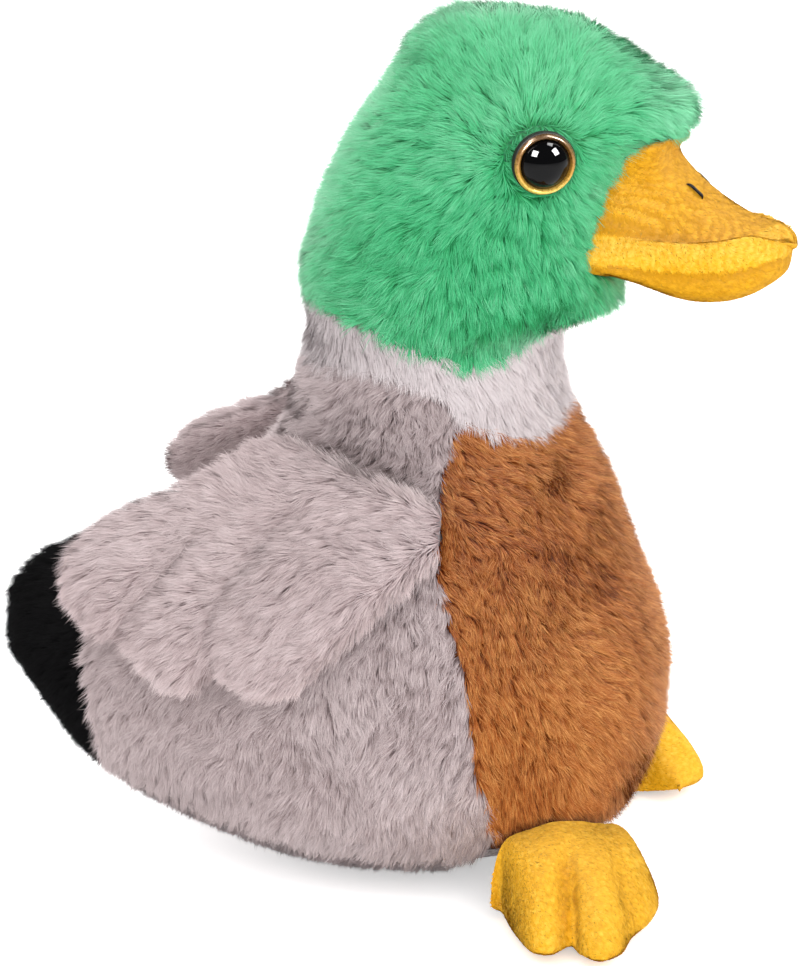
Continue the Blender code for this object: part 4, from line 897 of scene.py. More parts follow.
def make_body_cloth():
    """Backing cloth of the breast, the flanks and the tail, on the CAD panels' seams."""
    rows = np.linspace(BELLY_SEAM_HEIGHT, COLLAR_SEAM_HEIGHT, 46)
    seam = breast_turn(rows)
    breast = hull_cloth("breast_cloth", rows, -seam, seam, 40, BROWN_CLOTH)
    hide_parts("breast_panel", "body_stuffing")
    tail_seam = TAIL_LENGTH - TAIL_SEAM_DEPTH
    behind = np.minimum(turn_at_front(rows, np.full_like(rows, -tail_seam)), math.pi)
    for word, side in SIDES:
        flank = hull_cloth(word + "_flank_cloth", rows, seam, behind, 40, GREY_CLOTH, side)
        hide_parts(word + "_side_panel")
    in_tail = behind < math.pi - 1e-4
    edge = behind[in_tail]
    tail = hull_cloth("tail_cloth", rows[in_tail], edge, 2 * math.pi - edge, 30, BLACK_CLOTH)
    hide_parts("tail_panel")


def ring_cloth(name, low, high, rows, material, close=False):
    """A ring of backing cloth right round the duck between two rows of heights."""
    turns = HULL_TURNS[::3]
    share = np.linspace(0, 1, rows)[:, None]
    if close:
        share = 1 - (1 - share) ** 2
    heights = low(turns) + (high(turns) - low(turns)) * share
    outer, inner = cloth_layers(hull_point(heights, turns[None]))
    return cloth_between(name, outer, inner, material, "body", round_it=True)


def level(height):
    """The edge of a ring at one height all round."""
    return lambda turns: np.full_like(turns, height)


def make_ring_cloths():
    """Backing cloth of the belly, the collar and the head, each right round the duck."""
    belly = ring_cloth("belly_cloth", level(0.0), level(BELLY_SEAM_HEIGHT), 8, WHITE_CLOTH)
    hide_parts("belly_panel", "base_pellet_bag")
    collar = ring_cloth("collar_cloth", lambda t: collar_row(COLLAR_SEAM_HEIGHT, t), neck_row, 8,
                        WHITE_CLOTH)
    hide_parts("collar")
    head = ring_cloth("head_cloth", neck_row, level(CROWN_HEIGHT * 0.99999), 60, GREEN_CLOTH, True)
    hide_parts("head_top_gusset", "left_head_panel", "right_head_panel", "head_stuffing")


def eye_place(side):
    """Where the eye sits on the head and which way it faces."""
    place = on_head(*EYE_SHARES)
    mid, back, front, half, back_power, front_power = hull_plan(place[2])
    share = (place[1] - mid) / front
    place[0] = half * (1 - share ** front_power) ** (1 / front_power)
    normal = hull_normal(place)
    flip = np.array((side, 1, 1))
    return place * flip, normal * flip


def head_comb(roots, side):
    """Which way the head's pile lies: away from the eye, then down the nape and over the bill.

    Close round the eye it turns inward, over the eye's edge.
    """
    eye = eye_place(1)[0] * np.stack([side, np.ones_like(side), np.ones_like(side)], -1)
    from_eye = unit(roots - eye)
    from_eye[:, 0] *= np.clip(np.abs(roots[:, 0]) / 0.010, 0, 1)
    distance = np.linalg.norm(roots - eye, axis=-1, keepdims=True)
    from_eye *= 1 - 1.7 * np.exp(-((distance - EYE_FUR_REACH) / 0.0014) ** 2)
    height, front = roots[:, 2:3], roots[:, 1:2]
    behind = np.clip((0.022 - front) / 0.03, 0, 1)
    below = np.clip((0.150 - height) / 0.030, 0, 1)
    flow = from_eye + np.array((0.0, -0.10, -1.0)) * (0.15 + 0.55 * below + 0.55 * behind)
    over_brow = np.clip((front - 0.040) / 0.010, 0, 1) * np.clip((height - 0.150) / 0.010, 0, 1)
    tip = np.clip((front - 0.050) / 0.006, 0, 1)
    forward, down = np.array((0.0, 1.2, -0.35)), np.array((0.0, -0.4, -1.6))
    return flow + over_brow * forward + over_brow * tip * down


def within(points, loop):
    """Whether points, as two columns, are inside a closed loop."""
    x, y = points[:, 0], points[:, 1]
    inside = np.zeros(len(points), bool)
    for (x1, y1), (x2, y2) in zip(loop, np.roll(loop, -1, axis=0)):
        crosses = (y1 > y) != (y2 > y)
        inside ^= crosses & (x < (x2 - x1) * (y - y1) / (y2 - y1 + 1e-15) + x1)
    return inside


def make_hull_pile(rng):
    """Pile over the whole body and head, one fabric for each panel."""
    grid = closed_up(HULL - HULL_NORMALS * CLOTH_DEPTH)
    roots, normals, _, column = scatter(
        grid, closed_up(HULL_NORMALS), fibre_count("head", grid), rng)
    turn = column / len(HULL_TURNS) * 2 * math.pi
    half_turn = np.where(turn > math.pi, 2 * math.pi - turn, turn)
    degrees = np.degrees(half_turn)
    side = np.where(turn > math.pi, -1.0, 1.0)
    skin = roots + normals * CLOTH_DEPTH
    height, front = skin[:, 2], skin[:, 1]
    # Each edge between two colours wanders a little, as a row of tufts does
    ragged = drift(roots, 0.0022, 31)[:, 0]
    hems = np.array(HEM_ROWS)
    green_edge, white_edge = (smooth_through(hems[:, 0], hems[:, k], degrees) for k in (1, 2))
    edge = np.array(BREAST_EDGE)
    breast_edge = smooth_through(edge[:, 0], edge[:, 1], height) + ragged * 1.5
    edge = np.array(BELLY_EDGE)
    belly_edge = smooth_through(edge[:, 0], edge[:, 1], degrees)
    # Roots stand above the edge that shows, because the pile hangs down over it
    head = height > green_edge + GREEN_HANG + ragged * 0.0008
    collar = ~head & (height > white_edge + WHITE_HANG + ragged * 0.0006)
    body = ~head & ~collar
    belly = body & (height < belly_edge)
    body &= ~belly
    tail = body & (front < -(TAIL_LENGTH - TAIL_SEAM_DEPTH) - 0.0015 + ragged * 0.0005)
    breast = body & (degrees < breast_edge)
    flank = body & ~tail & ~breast
    neck = flank & (height > 0.072 + 0.010 * (front > -0.02))
    flank &= ~neck
    # No fibres grow under the bill or the feet
    eyes = [eye_place(s)[0] for s in (RIGHT, LEFT)]
    near_eye = np.min([np.linalg.norm(skin - eye, axis=-1) for eye in eyes], axis=0)
    base = flared_loops()[0]
    under_bill = within(skin[:, (0, 2)], base[:, (0, 2)]) & (front > 0.02)
    by_bill = near_line(skin, np.concatenate([base, base[:1]]), 0.0030) * (height < 0.1455)
    over_foot = height < smooth_through(*np.array(FOOT_CONTACT).T, degrees) - 0.0008
    head &= ~under_bill
    breast &= ~over_foot
    belly &= ~over_foot
    belly &= height > 0.0015
    down, ahead = -UP, np.array((0.0, 1.0, 0.0))
    outward = np.stack([side, np.zeros_like(side), np.zeros_like(side)], -1)
    # Which way each fabric is combed
    combs = {
        "head": head_comb(skin, side),
        "collar": down + 0.3 * outward + 0.5 * ahead,
        "breast": down * 0.9 + ahead * 0.55 + outward * 0.1,
        "flank": down - 0.30 * ahead + 0.1 * outward,
        "neck": down * 0.8 - 0.4 * ahead + 0.1 * outward,
        "tail": down * 0.6 - ahead * 0.8,
        "belly": outward * 0.8 - 0.2 * down,
    }
    brow_tip = np.clip((front - 0.048) / 0.008, 0, 1) * np.clip((height - 0.150) / 0.006, 0, 1)
    # The head's fibres are short under and round the eye and at the bill, and long at the brow's tip
    by_eye = 1 - 0.62 * np.clip((EYE_FUR_REACH - near_eye) / 0.0008, 0, 1)
    by_eye += 0.15 * brow_tip - 0.35 * by_bill - 0.25 * np.exp(-((near_eye - 0.0082) / 0.0020) ** 2)
    # Painted shade darkens folds, a ring round the eye and the belly's edge, painted light makes the
    # brow's tip paler, and the head is a little darker low down
    mirrored = np.stack([np.abs(skin[:, 0]), skin[:, 1], skin[:, 2]], -1)
    fold = np.max([near_line(mirrored, line, FOLD_WIDTH) * dark for line, dark in FOLDS], axis=0)
    shade = -fold - 0.25 * head * np.exp(-((near_eye - 0.0060) / 0.0020) ** 2)
    shade += head * (0.32 * brow_tip - 0.08 * np.clip((0.140 - height) / 0.010, 0, 1))
    shade -= 0.35 * np.exp(-((height - belly_edge) / 0.0009) ** 2) * (flank | belly)
    lower_head = 0.70 + 0.9 * np.clip((0.150 - height) / 0.035, 0, 1)
    ahead_share = np.clip((front + 0.045) / 0.075, 0, 1)
    # Name, fabric, where it grows, material, and how far its fibres differ in shade
    rows = (
        ("right_head_pile", "head", head & (side < 0), GREEN, lower_head),
        ("left_head_pile", "head", head & (side > 0), GREEN, lower_head),
        ("collar_pile", "collar", collar, WHITE, 0.6),
        ("breast_pile", "breast", breast, BROWN, 1.0),
        ("right_flank_pile", "flank", flank & (side < 0), GREY, 0.7 + 0.8 * ahead_share),
        ("left_flank_pile", "flank", flank & (side > 0), GREY, 0.7 + 0.8 * ahead_share),
        ("neck_pile", "neck", neck, GREY, 1.0),
        ("tail_pile", "tail", tail, BLACK, 1.0),
        ("belly_pile", "belly", belly, BELLY_GREY, 0.8),
    )
    for k, (name, key, mask, material, contrast) in enumerate(rows):
        keep = rng.random(mask.sum()) < PILES[key][10] / PILES["head"][10]
        picked = np.flatnonzero(mask)[keep]
        flow = unit(np.broadcast_to(combs[key], roots.shape)[picked])
        pile(name, key, "body", material, roots[picked], normals[picked], flow, rng,
             (by_eye[picked] if key == "head" else 1.0) * (1 - 0.5 * fold[picked]), shade[picked],
             np.broadcast_to(contrast, height.shape)[picked], seed=10 + k)


# Bill


def bill_front(share):
    """How far forward a share of the bill's length is."""
    return float(hull_point(BILL_SEAM_HEIGHT, 0.0)[1]) + share * BILL_LENGTH


def bill_seat(points):
    """How far forward points of the bill's base are when they rest on the front of the head."""
    mid, back, front, half, back_power, front_power = hull_plan(points[:, 2])
    share = np.clip(np.abs(points[:, 0]) / half, 0, 1)
    return mid + front * (1 - share ** front_power) ** (1 / front_power) + BILL_SEAT_GAP


def bill_loops():
    """The bill's sections from its base on the head to its tip, as loops that start at the ridge."""
    loops = []
    for reach, ridge, wide, lip, rise, belly in BILL_STATION_SHARES:
        half = wide * BILL_WIDTH / 2
        seam = BILL_SEAM_HEIGHT + rise * LIP_HEIGHT
        lip_top = lip * LIP_HEIGHT
        above = max(ridge * BILL_DEPTH_ABOVE - (seam - BILL_SEAM_HEIGHT), lip_top * 0.9)
        upper = [(out * half, seam + up * lip_top + over * (above - up * lip_top))
                 for out, up, over in BILL_UPPER_SHARES]
        lower = [(out * half, seam - down * belly * BILL_DEPTH_BELOW) for out, down in BILL_LOWER_SHARES]
        side = upper[::-1] + lower[1:]
        loop = side + [(-x, z) for x, z in side[-2:0:-1]]
        loops.append([(x, bill_front(reach), z) for x, z in loop])
    loops = np.array(loops)
    seat = bill_seat(loops[0])
    loops[0, :, 1] = seat
    loops[1, :, 1] = np.maximum(loops[1, :, 1], seat + (loops[2, :, 1] - seat) * 0.35)
    return loops


def flared_loops():
    """The bill's sections with the base that spreads over the face under the pile."""
    loops = bill_loops()
    reach = loops[1:, :, 1] - loops[:1, :, 1]
    shorter = (1 - BILL_REACH_SHARE) * np.clip(reach / 0.03, 0, 1)
    loops[1:, :, 1] = loops[:1, :, 1] + reach * (1 - shorter)
    edge = np.array(BASE_EDGE)
    edge = np.concatenate([edge, edge[-2:0:-1] * (-1, 1)])
    before = np.array(loops[0])
    loops[0, :, 0], loops[0, :, 2] = edge.T
    loops[0, :, 1] = bill_seat(loops[0])
    for row, share in ((1, 0.30), (2, 0.06)):
        loops[row] += (loops[0] - before) * share * (1, 0, 1)
    return loops


def bill_grid():
    """The bill's surface as a fine grid: rows from its base to its tip, columns round from the ridge."""
    loops = flared_loops()
    tip = np.array((0.0, bill_front(BILL_REACH_SHARE), loops[-1, :, 2].mean()))
    buried = loops[0] - np.array((0.0, CLOTH_DEPTH, 0.0))
    rows = np.concatenate([buried[None], loops, np.broadcast_to(tip, (1,) + loops.shape[1:])])
    rows = finer(rows, 72)
    around = finer(np.swapaxes(rows, 0, 1), 144, closed=True)
    return np.swapaxes(around, 0, 1)


def make_bill(rng):
    """Upper and lower bill of velboa, with a padded lip and the nap crushed in arcs round the corner."""
    grid = bill_grid()
    normals = grid_normals(grid)
    normals = normals * np.sign(normals[20, 0, 2])
    columns = grid.shape[1]
    per_point = columns // (2 * (len(BILL_UPPER_SHARES) + len(BILL_LOWER_SHARES)) - 4)
    seam_column = (len(BILL_UPPER_SHARES) - 1) * per_point
    crease_column = seam_column - 3 * per_point
    parts = {
        "upper_bill": np.arange(-seam_column, seam_column + 1),
        "lower_bill": np.arange(seam_column, columns - seam_column + 1),
    }
    for name, picked in parts.items():
        from_ridge = np.abs(picked) if name == "upper_bill" else picked
        g, n = grid[:, picked % columns], normals[:, picked % columns]
        outer = g - n * SHORT_CLOTH_DEPTH
        inner = g - n * (SHORT_CLOTH_DEPTH + CLOTH_THICKNESS)
        cloth = cloth_between(name + "_cloth", outer, inner, GOLD_CLOTH, "body")
        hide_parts(name)
        if name == "upper_bill":
            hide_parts("bill_stuffing")
        count = fibre_count("velboa", outer)
        roots, up, _, column = scatter(outer[1:-1], n[1:-1], count, rng)
        at = np.interp(column, np.arange(len(picked)), from_ridge)
        ring = np.linalg.norm(roots - BILL_CORNER, axis=-1) + drift(roots, 0.004, 43)[:, 0] * 0.0012
        crush = np.sin(ring / CRUSH_SPACING * 2 * math.pi)
        crush *= np.clip(at / 14 - 0.5, 0, 1) * np.clip((0.086 - roots[:, 1]) / 0.012, 0.15, 1)
        if name == "upper_bill":
            lip_column = crease_column * np.clip((0.0765 - roots[:, 1]) / 0.006, 0, 1)
            on_lip = np.clip((at - lip_column - 1) / 3, 0, 1)
            crease = np.exp(-((at - crease_column) / 1.8) ** 2)
            crease *= np.clip((0.0715 - roots[:, 1]) / 0.004, 0, 1)
            wander = drift(roots, 0.003, 47)[:, 0] * 0.0008
            along_lip = np.sin((roots[:, 1] + wander) / LIP_RIB_SPACING * 2 * math.pi)
            seam = np.exp(-((at - seam_column) / 1.6) ** 2)
            # The lip is painted lighter than the crushed velvet above it, a painted highlight on its
            # roll, and painted shade darkens the crease above it and both seams
            shade = 0.20 * crush * (1 - on_lip) + (0.40 + 0.10 * along_lip) * on_lip
            shade = shade - 0.33 - 0.45 * crease - 0.55 * seam
            lift = 0.12 * on_lip[:, None] * UP
        else:
            seam = np.exp(-((at - seam_column) / 1.6) ** 2) + np.exp(
                -((at - (columns - seam_column)) / 1.6) ** 2)
            # Painted shade darkens both seams of the lower bill
            shade = -0.36 - 0.4 * seam
            crush = np.zeros(len(roots))
            lift = 0.1 * UP
        radial = unit(roots - BILL_CORNER)
        flow = radial * (0.35 + crush[:, None]) + np.array((0.0, 0.5, -0.25))
        pile(name + "_pile", "velboa", "body", GOLD, roots, unit(up + lift), flow, rng, shade=shade,
             seed=40)
    make_nostrils(grid, normals, seam_column)


def make_nostrils(grid, normals, seam_column):
    """A short stitch of black thread each side of the ridge, sunk at both ends."""
    (row_a, column_a), (row_b, column_b) = NOSTRIL_ENDS
    share = np.linspace(0, 1, 25)
    rows = (row_a + (row_b - row_a) * share) * (grid.shape[0] - 1)
    columns = (column_a + (column_b - column_a) * share) * 2 * seam_column
    i, j = rows.astype(int), columns.astype(int)
    place = between(grid, i, j, (rows - i)[:, None], (columns - j)[:, None])
    up = unit(normals[i, j])
    place = place + up * (0.00035 - 0.0014 * np.abs(2 * share - 1) ** 6)[:, None]
    along = unit(np.gradient(place, axis=0))
    across = np.cross(along, up)
    sides = 10
    turns = np.linspace(0, 2 * math.pi, sides, endpoint=False)
    twist = 1 + 0.10 * np.sin(turns[None] * 2 + share[:, None] * 60)
    ring = (np.cos(turns)[None, :, None] * across[:, None] + np.sin(turns)[None, :, None] * up[:, None])
    tube = place[:, None] + ring * NOSTRIL_THREAD * twist[..., None]
    faces = tube_faces(len(share), sides)
    for word, side in SIDES:
        points = tube.reshape(-1, 3) * (side, 1, 1)
        stitch = new_piece(word + "_nostril_thread", points, faces, THREAD, "body")
        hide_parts(word + "_nostril_stitch")


# Eyes


def turned(name, profile, place, facing, material, steps=72):
    """A piece turned about the way that the eye faces, from a profile of (radius, height)."""
    z = unit(facing)
    x = unit(np.cross(UP, z))
    y = np.cross(z, x)
    angles = np.linspace(0, 2 * math.pi, steps, endpoint=False)
    rings = [place + h * z + r * (np.cos(angles)[:, None] * x + np.sin(angles)[:, None] * y)
             for r, h in profile]
    return new_piece(name, np.concatenate(rings), tube_faces(len(profile), steps), material, "body")


def eye_materials():
    """Moulded safety eye: a glossy black dome in a ring of gold lacquer on a dark plastic back."""
    dome, tree, shader = new_material("black_acrylic_dome")
    feed(tree, shader, Base_Color=linear("#060607"), Roughness=0.03, IOR=1.49, Specular_IOR_Level=0.15)
    rim, tree, shader = new_material("dark_moulded_rim")
    feed(tree, shader, Base_Color=linear("#120c05"), Roughness=0.6, Specular_IOR_Level=0.15)
    gold, tree, shader = new_material("gold_lacquer_iris")
    place = add_node(tree, "ShaderNodeTexCoord").outputs["Object"]
    height = add_node(tree, "ShaderNodeSeparateXYZ", Vector=place).outputs["Z"]
    eye_height = float(on_head(*EYE_SHARES)[2])
    share = add_node(tree, "ShaderNodeMapRange", Value=height, i1=eye_height - EYE_DIAMETER / 2,
                     i2=eye_height + EYE_DIAMETER / 2)
    grain = add_node(tree, "ShaderNodeTexNoise", Vector=place, Scale=LACQUER_GRAINS, Detail=3.0)
    mixed = add_node(tree, "ShaderNodeMath", {"operation": "MULTIPLY_ADD"}, i0=grain.outputs["Fac"],
                     i1=0.3, i2=share.outputs[0])
    # The iris is painted from light gold at its bottom to dark brown at its top, broken by the lacquer's
    # grain: a painted reflection, bright below and shaded above
    painted_reflection_tones = ((0.15, "#f3cd66"), (0.45, "#c9963a"), (0.75, "#8a5f24"), (1.0, "#573a14"))
    color = add_node(tree, RAMP, stops=painted_reflection_tones, i0=mixed.outputs[0])
    rough = add_node(tree, RAMP, stops=((0.2, 0.34), (0.9, 0.22)), i0=grain.outputs["Fac"])
    feed(tree, shader, Base_Color=color.outputs[0], Roughness=rough.outputs[0], Metallic=0.35,
         Coat_Weight=0.3)
    return dome, rim, gold


EYE_RADIUS = EYE_DIAMETER / 2
DOME_RADIUS = EYE_RADIUS * 0.80
IRIS_SHARES = (0.79, 0.985)
DOME_RISE = 0.0030
DOME_FOOT = 0.0006
DOME_BALL = (DOME_RADIUS ** 2 + DOME_RISE ** 2) / (2 * DOME_RISE)
DOME_CENTRE = DOME_FOOT + DOME_RISE - DOME_BALL


def make_eyes():
    dome, rim, gold = eye_materials()
    arc = np.linspace(0.002, math.asin(DOME_RADIUS / DOME_BALL), 16)
    for word, side in SIDES:
        place, facing = eye_place(side)
        cap = [(DOME_BALL * math.sin(a), DOME_CENTRE + DOME_BALL * math.cos(a)) for a in arc]
        cap += [(DOME_RADIUS, -0.0006), (DOME_RADIUS * 0.002, -0.0006)]
        lens = turned(word + "_eye_dome", cap, place, facing, dome)
        bulge = [(share, 0.0004 + 0.0008 * math.sin(share * math.pi)) for share in np.linspace(0, 1, 9)]
        inner, outer = (EYE_RADIUS * share for share in IRIS_SHARES)
        ring = [(inner + (outer - inner) * share, rise) for share, rise in bulge]
        ring += [(radius, -0.0010) for radius in (outer, inner)]
        turned(word + "_eye_iris", ring, place, facing, gold)
        band = [(EYE_RADIUS * 0.96, 0.0003), (EYE_RADIUS * 0.99, 0.0004), (EYE_RADIUS * 1.01, 0.0001),
                (EYE_RADIUS * 1.01, -0.0012), (EYE_RADIUS * 0.96, -0.0012)]
        back = turned(word + "_eye_rim", band, place, facing, rim)
        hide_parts(word + "_eye_lens")
        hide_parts(word + "_eye_back")
        washer = bpy.data.objects[word + "_eye_washer"]
        for slot in washer.material_slots:
            slot.material = WASHER


# Wings


def hull_side(front, height):
    """How far out the hull is at a distance forward and a height, or 0 beyond its ends."""
    mid, back, ahead, half, back_power, front_power = hull_plan(height)
    before = front >= mid
    power = np.where(before, front_power, back_power)
    share = np.clip(np.abs(front - mid) / np.where(before, ahead, back), 0, 1)
    return half * (1 - share ** power) ** (1 / power)


def wing_sheet(back, height):
    """How far out the wing's sheet is: it lies on the flank and leans in to its top edge."""
    flank = hull_side(WING_ROOT_FRONT - back, height) + WING_STAND_OFF
    top = WING_LEAN_SHARES[1] * NECK_HEIGHT
    leaning = WING_LEAN_SHARES[0] * BODY_WIDTH / 2 + (top - height) * math.tan(WING_LEAN)
    blend = 14
    return (flank ** blend + np.maximum(leaning, 0.0) ** blend) ** (1 / blend)


def crease_depth(column_share, row_share, ends, width_share):
    """A dip of up to 1 near the columns where creases end, fading towards the root."""
    dip = np.zeros(np.broadcast(column_share, row_share).shape)
    for end in ends:
        near = np.exp(-((column_share - end) / width_share) ** 2)
        dip = np.maximum(dip, near * np.clip((row_share - 0.25) / 0.5, 0, 1))
    return dip


def room_to_hull(points, direction, reach):
    """How far points can move along a direction, up to reach, before they meet the hull."""
    low = np.zeros(points.shape[:-1])
    high = np.full(points.shape[:-1], reach)
    for _ in range(24):
        middle = (low + high) / 2
        inside = hull_measure(points + direction * middle[..., None]) < 1
        high = np.where(inside, middle, high)
        low = np.where(inside, low, middle)
    return low


def eased(share):
    """Shares that crowd together at both ends, where an edge rolls over."""
    return share - np.sin(2 * math.pi * share) / (2 * math.pi) * 0.85


def rounded(row_share, column_share, power=2.2):
    """How full a cushion is: 1 in its middle and 0 at its outline, but not at its root."""
    far = 1 - row_share ** (2 * np.min(power))
    across = 1 - np.abs(2 * column_share - 1) ** (2 * power)
    return np.sqrt(np.clip(far, 0, 1)) * np.sqrt(np.clip(across, 0, 1))


def wing_grids():
    """The wing's middle sheet, the way that it faces and how far each panel is from it."""
    outline = np.array(WING_OUTLINE_SHARES)
    lobes = np.stack([outline[:, 0] * WING_LENGTH, WING_LOWEST_HEIGHT + outline[:, 1] * WING_HEIGHT])
    plain = np.array(lobes)
    for _ in range(3):
        plain[:, 1:-1] = (plain[:, :-2] + 2 * plain[:, 1:-1] + plain[:, 2:]) / 4
    column_share = WING_CLOTH_MARGIN + (1 - 2 * WING_CLOTH_MARGIN) * eased(np.linspace(0, 1, 145))
    picks = np.rint(column_share * 1200).astype(int)
    lobes, plain = (finer(g.T, 1201)[picks].T for g in (lobes, plain))
    edge_share = np.sin(np.linspace(0, math.pi / 2, 61))[:, None]
    row_share = edge_share * WING_CLOTH_REACH
    backs, heights = plain
    root_heights = WING_ROOT_HEIGHT - WING_ROOT_DEPTH * column_share
    bend = 2 * row_share * (1 - row_share)
    bends = np.array(WING_BEND_SHARES)
    back_share, rise_share = (np.interp(column_share, bends[:, 0], bends[:, k]) for k in (1, 2))
    back = bend * backs * back_share + row_share ** 2 * backs
    bend_heights = root_heights + (heights - root_heights) * rise_share
    height = (1 - row_share) ** 2 * root_heights + bend * bend_heights + row_share ** 2 * heights
    near_outline = row_share ** 5
    back = back + near_outline * (lobes[0] - backs)
    height = height + near_outline * (lobes[1] - heights)
    middle = np.stack([wing_sheet(back, height), WING_ROOT_FRONT - back, height], -1)
    slope = wing_sheet(back, height - WING_EDGE) - wing_sheet(back, height + WING_EDGE)
    turn = wing_sheet(back + WING_EDGE, height) - wing_sheet(back - WING_EDGE, height)
    out = unit(np.stack([np.full_like(slope, 2 * WING_EDGE), turn, slope], -1))
    swell = np.clip(row_share / 0.35, 0, 1) ** 0.5
    rim = rounded(edge_share, (column_share - WING_CLOTH_MARGIN) / (1 - 2 * WING_CLOTH_MARGIN), 4.0)
    places = [[middle[np.abs(row_share[:, 0] - r).argmin(), np.abs(column_share - c).argmin()]
               for r, c in path] for path in WING_CREASE_PATHS]
    dip = np.max([near_line(middle, path, 0.0034) for path in places], axis=0)
    top_out = WING_EDGE + (WING_OUTER_LOFT - WING_EDGE) * swell - WING_CREASE * dip
    top_out = np.maximum(top_out - WING_CLOTH_DEPTH * 0.8, WING_EDGE / 2) * rim
    low_out = (WING_EDGE * 0.6 + (WING_INNER_LOFT - WING_EDGE) * swell) * rim
    room = room_to_hull(middle, -out, BODY_WIDTH / 2)
    low_out = np.minimum(low_out, room - 0.0006)
    return middle, out, top_out, low_out, places


def make_wings(rng):
    """Both wings: two padded panels each, with the pile fanned back from the root."""
    middle, out, top, low, creases = wing_grids()
    root = np.array((0.0, WING_ROOT_FRONT + 0.004, WING_ROOT_HEIGHT))
    for word, side in SIDES:
        flip = np.array((side, 1.0, 1.0))
        body = word + "_wing"
        for key, outer, facing in (
                ("outer", middle + out * top[..., None], out),
                ("inner", middle - out * low[..., None], -out)):
            name = word + "_wing_" + key
            cloth = cloth_between(name + "_cloth", outer * flip, middle * flip, GREY_CLOTH, body)
            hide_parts(name + "_panel")
            if key == "outer":
                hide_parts(word + "_wing_wadding")
            normals = facing_normals(outer, facing)
            fabric = "wing" if key == "outer" else "under_wing"
            roots, up, _, _ = scatter(outer, normals, fibre_count(fabric, outer), rng)
            away = roots - root
            away[:, 0] = 0
            fan = np.clip(np.linalg.norm(away, axis=-1, keepdims=True) / 0.045, 0, 1) ** 1.3
            flow = unit(away) * fan + np.array((0.0, -0.9, -0.42)) * (1 - fan)
            flow = flow + np.array((0.0, 0.0, -0.12))
            crease = np.max([near_line(roots, line, 0.0022) for line in creases], axis=0)
            # Along the creases the pile is shorter, and on the outer panel painted shade darkens it
            pile(name + "_pile", fabric, body, PALE_GREY, roots * flip, up * flip, flow * flip, rng,
                 1 - 0.15 * crease, -0.35 * crease if key == "outer" else 0.0, seed=60)


# Feet


def foot_grids(side):
    """The foot's top and sole as grids: rows from the body to the toes, columns across."""
    outline = finer(np.array(FOOT_OUTLINE_SHARES), 961)
    column_share = eased(np.linspace(0, 1, 97))
    outline = outline[np.rint(column_share * 960).astype(int)]
    row_share = np.sin(np.linspace(0, math.pi / 2, 49))[:, None]
    inner_turn = FOOT_TOP_TURNS[1] if side == RIGHT else LEFT_FOOT_INNER_TURN
    turns = FOOT_TOP_TURNS[0] + (inner_turn - FOOT_TOP_TURNS[0]) * column_share
    contact = np.maximum(smooth_through(*np.array(FOOT_CONTACT).T, np.degrees(turns)), FOOT_SEAM_HEIGHT)
    top_root = hull_point(contact, turns)[:, :2]
    low_inner = FOOT_ROOT_TURNS[1] + inner_turn - FOOT_TOP_TURNS[1]
    low_turns = FOOT_ROOT_TURNS[0] + (low_inner - FOOT_ROOT_TURNS[0]) * column_share
    low_root = hull_point(np.full(97, FOOT_ROOT_HEIGHT), low_turns)[:, :2]
    at_edge = np.abs(2 * column_share - 1)[:, None] ** 8
    low_root = low_root * (1 - at_edge) + top_root * at_edge
    toes = np.stack([outline[:, 1] * FOOT_SPREAD, FOOT_BACK + outline[:, 0] * FOOT_LENGTH], -1)
    full = rounded(row_share, column_share, 2.6 + 7 * (1 - row_share) ** 2)
    dip = crease_depth(column_share, row_share, TOE_CREASE_SHARES, 0.045)
    ramp_up = (contact - FOOT_SEAM_HEIGHT) * (1 - row_share)
    bulge = FOOT_BULGE * np.sin(math.pi / 2 * np.clip(row_share / 0.6, 0, 1))
    top_height = FOOT_SEAM_HEIGHT + (ramp_up + bulge - TOE_DIP * dip) * full
    low_height = FOOT_SEAM_HEIGHT - (FOOT_SEAM_HEIGHT - CLOTH_THICKNESS) * full
    hip = low_root.mean(axis=0)
    splay = (LEFT_FOOT_SPLAY if side == LEFT else 0.0) * row_share
    grids = []
    for root, height in ((top_root, top_height), (low_root, low_height)):
        plan = root * (1 - row_share[..., None]) + toes * row_share[..., None] - hip
        x = plan[..., 0] * np.cos(splay) + plan[..., 1] * np.sin(splay) + hip[0]
        y = plan[..., 1] * np.cos(splay) - plan[..., 0] * np.sin(splay)
        if side == LEFT:
            x = x + (FOOT_SPREAD - x) * LEFT_FOOT_DRAW * np.clip(row_share / 0.3, 0, 1)
        grids.append(np.stack([x, y + hip[1], np.broadcast_to(height, x.shape)], -1))
    return grids[0], grids[1], dip * full


def make_feet(rng):
    """Both feet: a stuffed top with two toe creases, and a flat sole."""
    for word, side in SIDES:
        top, low, dip = foot_grids(side)
        flip = np.array((side, 1.0, 1.0))
        body = word + "_foot"
        for key, outer, facing in (("top_panel", top, UP), ("sole", low, -UP)):
            name = word + "_foot_" + key
            normals = facing_normals(outer, facing)
            cloth_at = outer - normals * SHORT_CLOTH_DEPTH
            cloth_at[..., 2] = np.maximum(cloth_at[..., 2], 2 * CLOTH_THICKNESS)
            inner = cloth_at - normals * CLOTH_THICKNESS
            cloth = cloth_between(name + "_cloth", cloth_at * flip, inner * flip, GOLD_CLOTH, body)
            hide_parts(name)
            if key == "top_panel":
                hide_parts(word + "_foot_stuffing")
            fabric = "velboa" if key == "top_panel" else "sole"
            roots, ups, row, column = scatter(cloth_at, normals, fibre_count(fabric, outer), rng)
            away = roots - np.array((0.020, 0.005, 0.0))
            away[:, 2] = 0
            crease = dip[np.minimum(row.astype(int), 48), np.minimum(column.astype(int), 96)]
            # Painted shade darkens the pile along the toe creases
            pile(name + "_pile", fabric, body, GOLD, roots * flip, ups * flip, unit(away) * flip,
                 rng, shade=-0.04 - 0.20 * crease, seed=80)


# Stage, light and camera


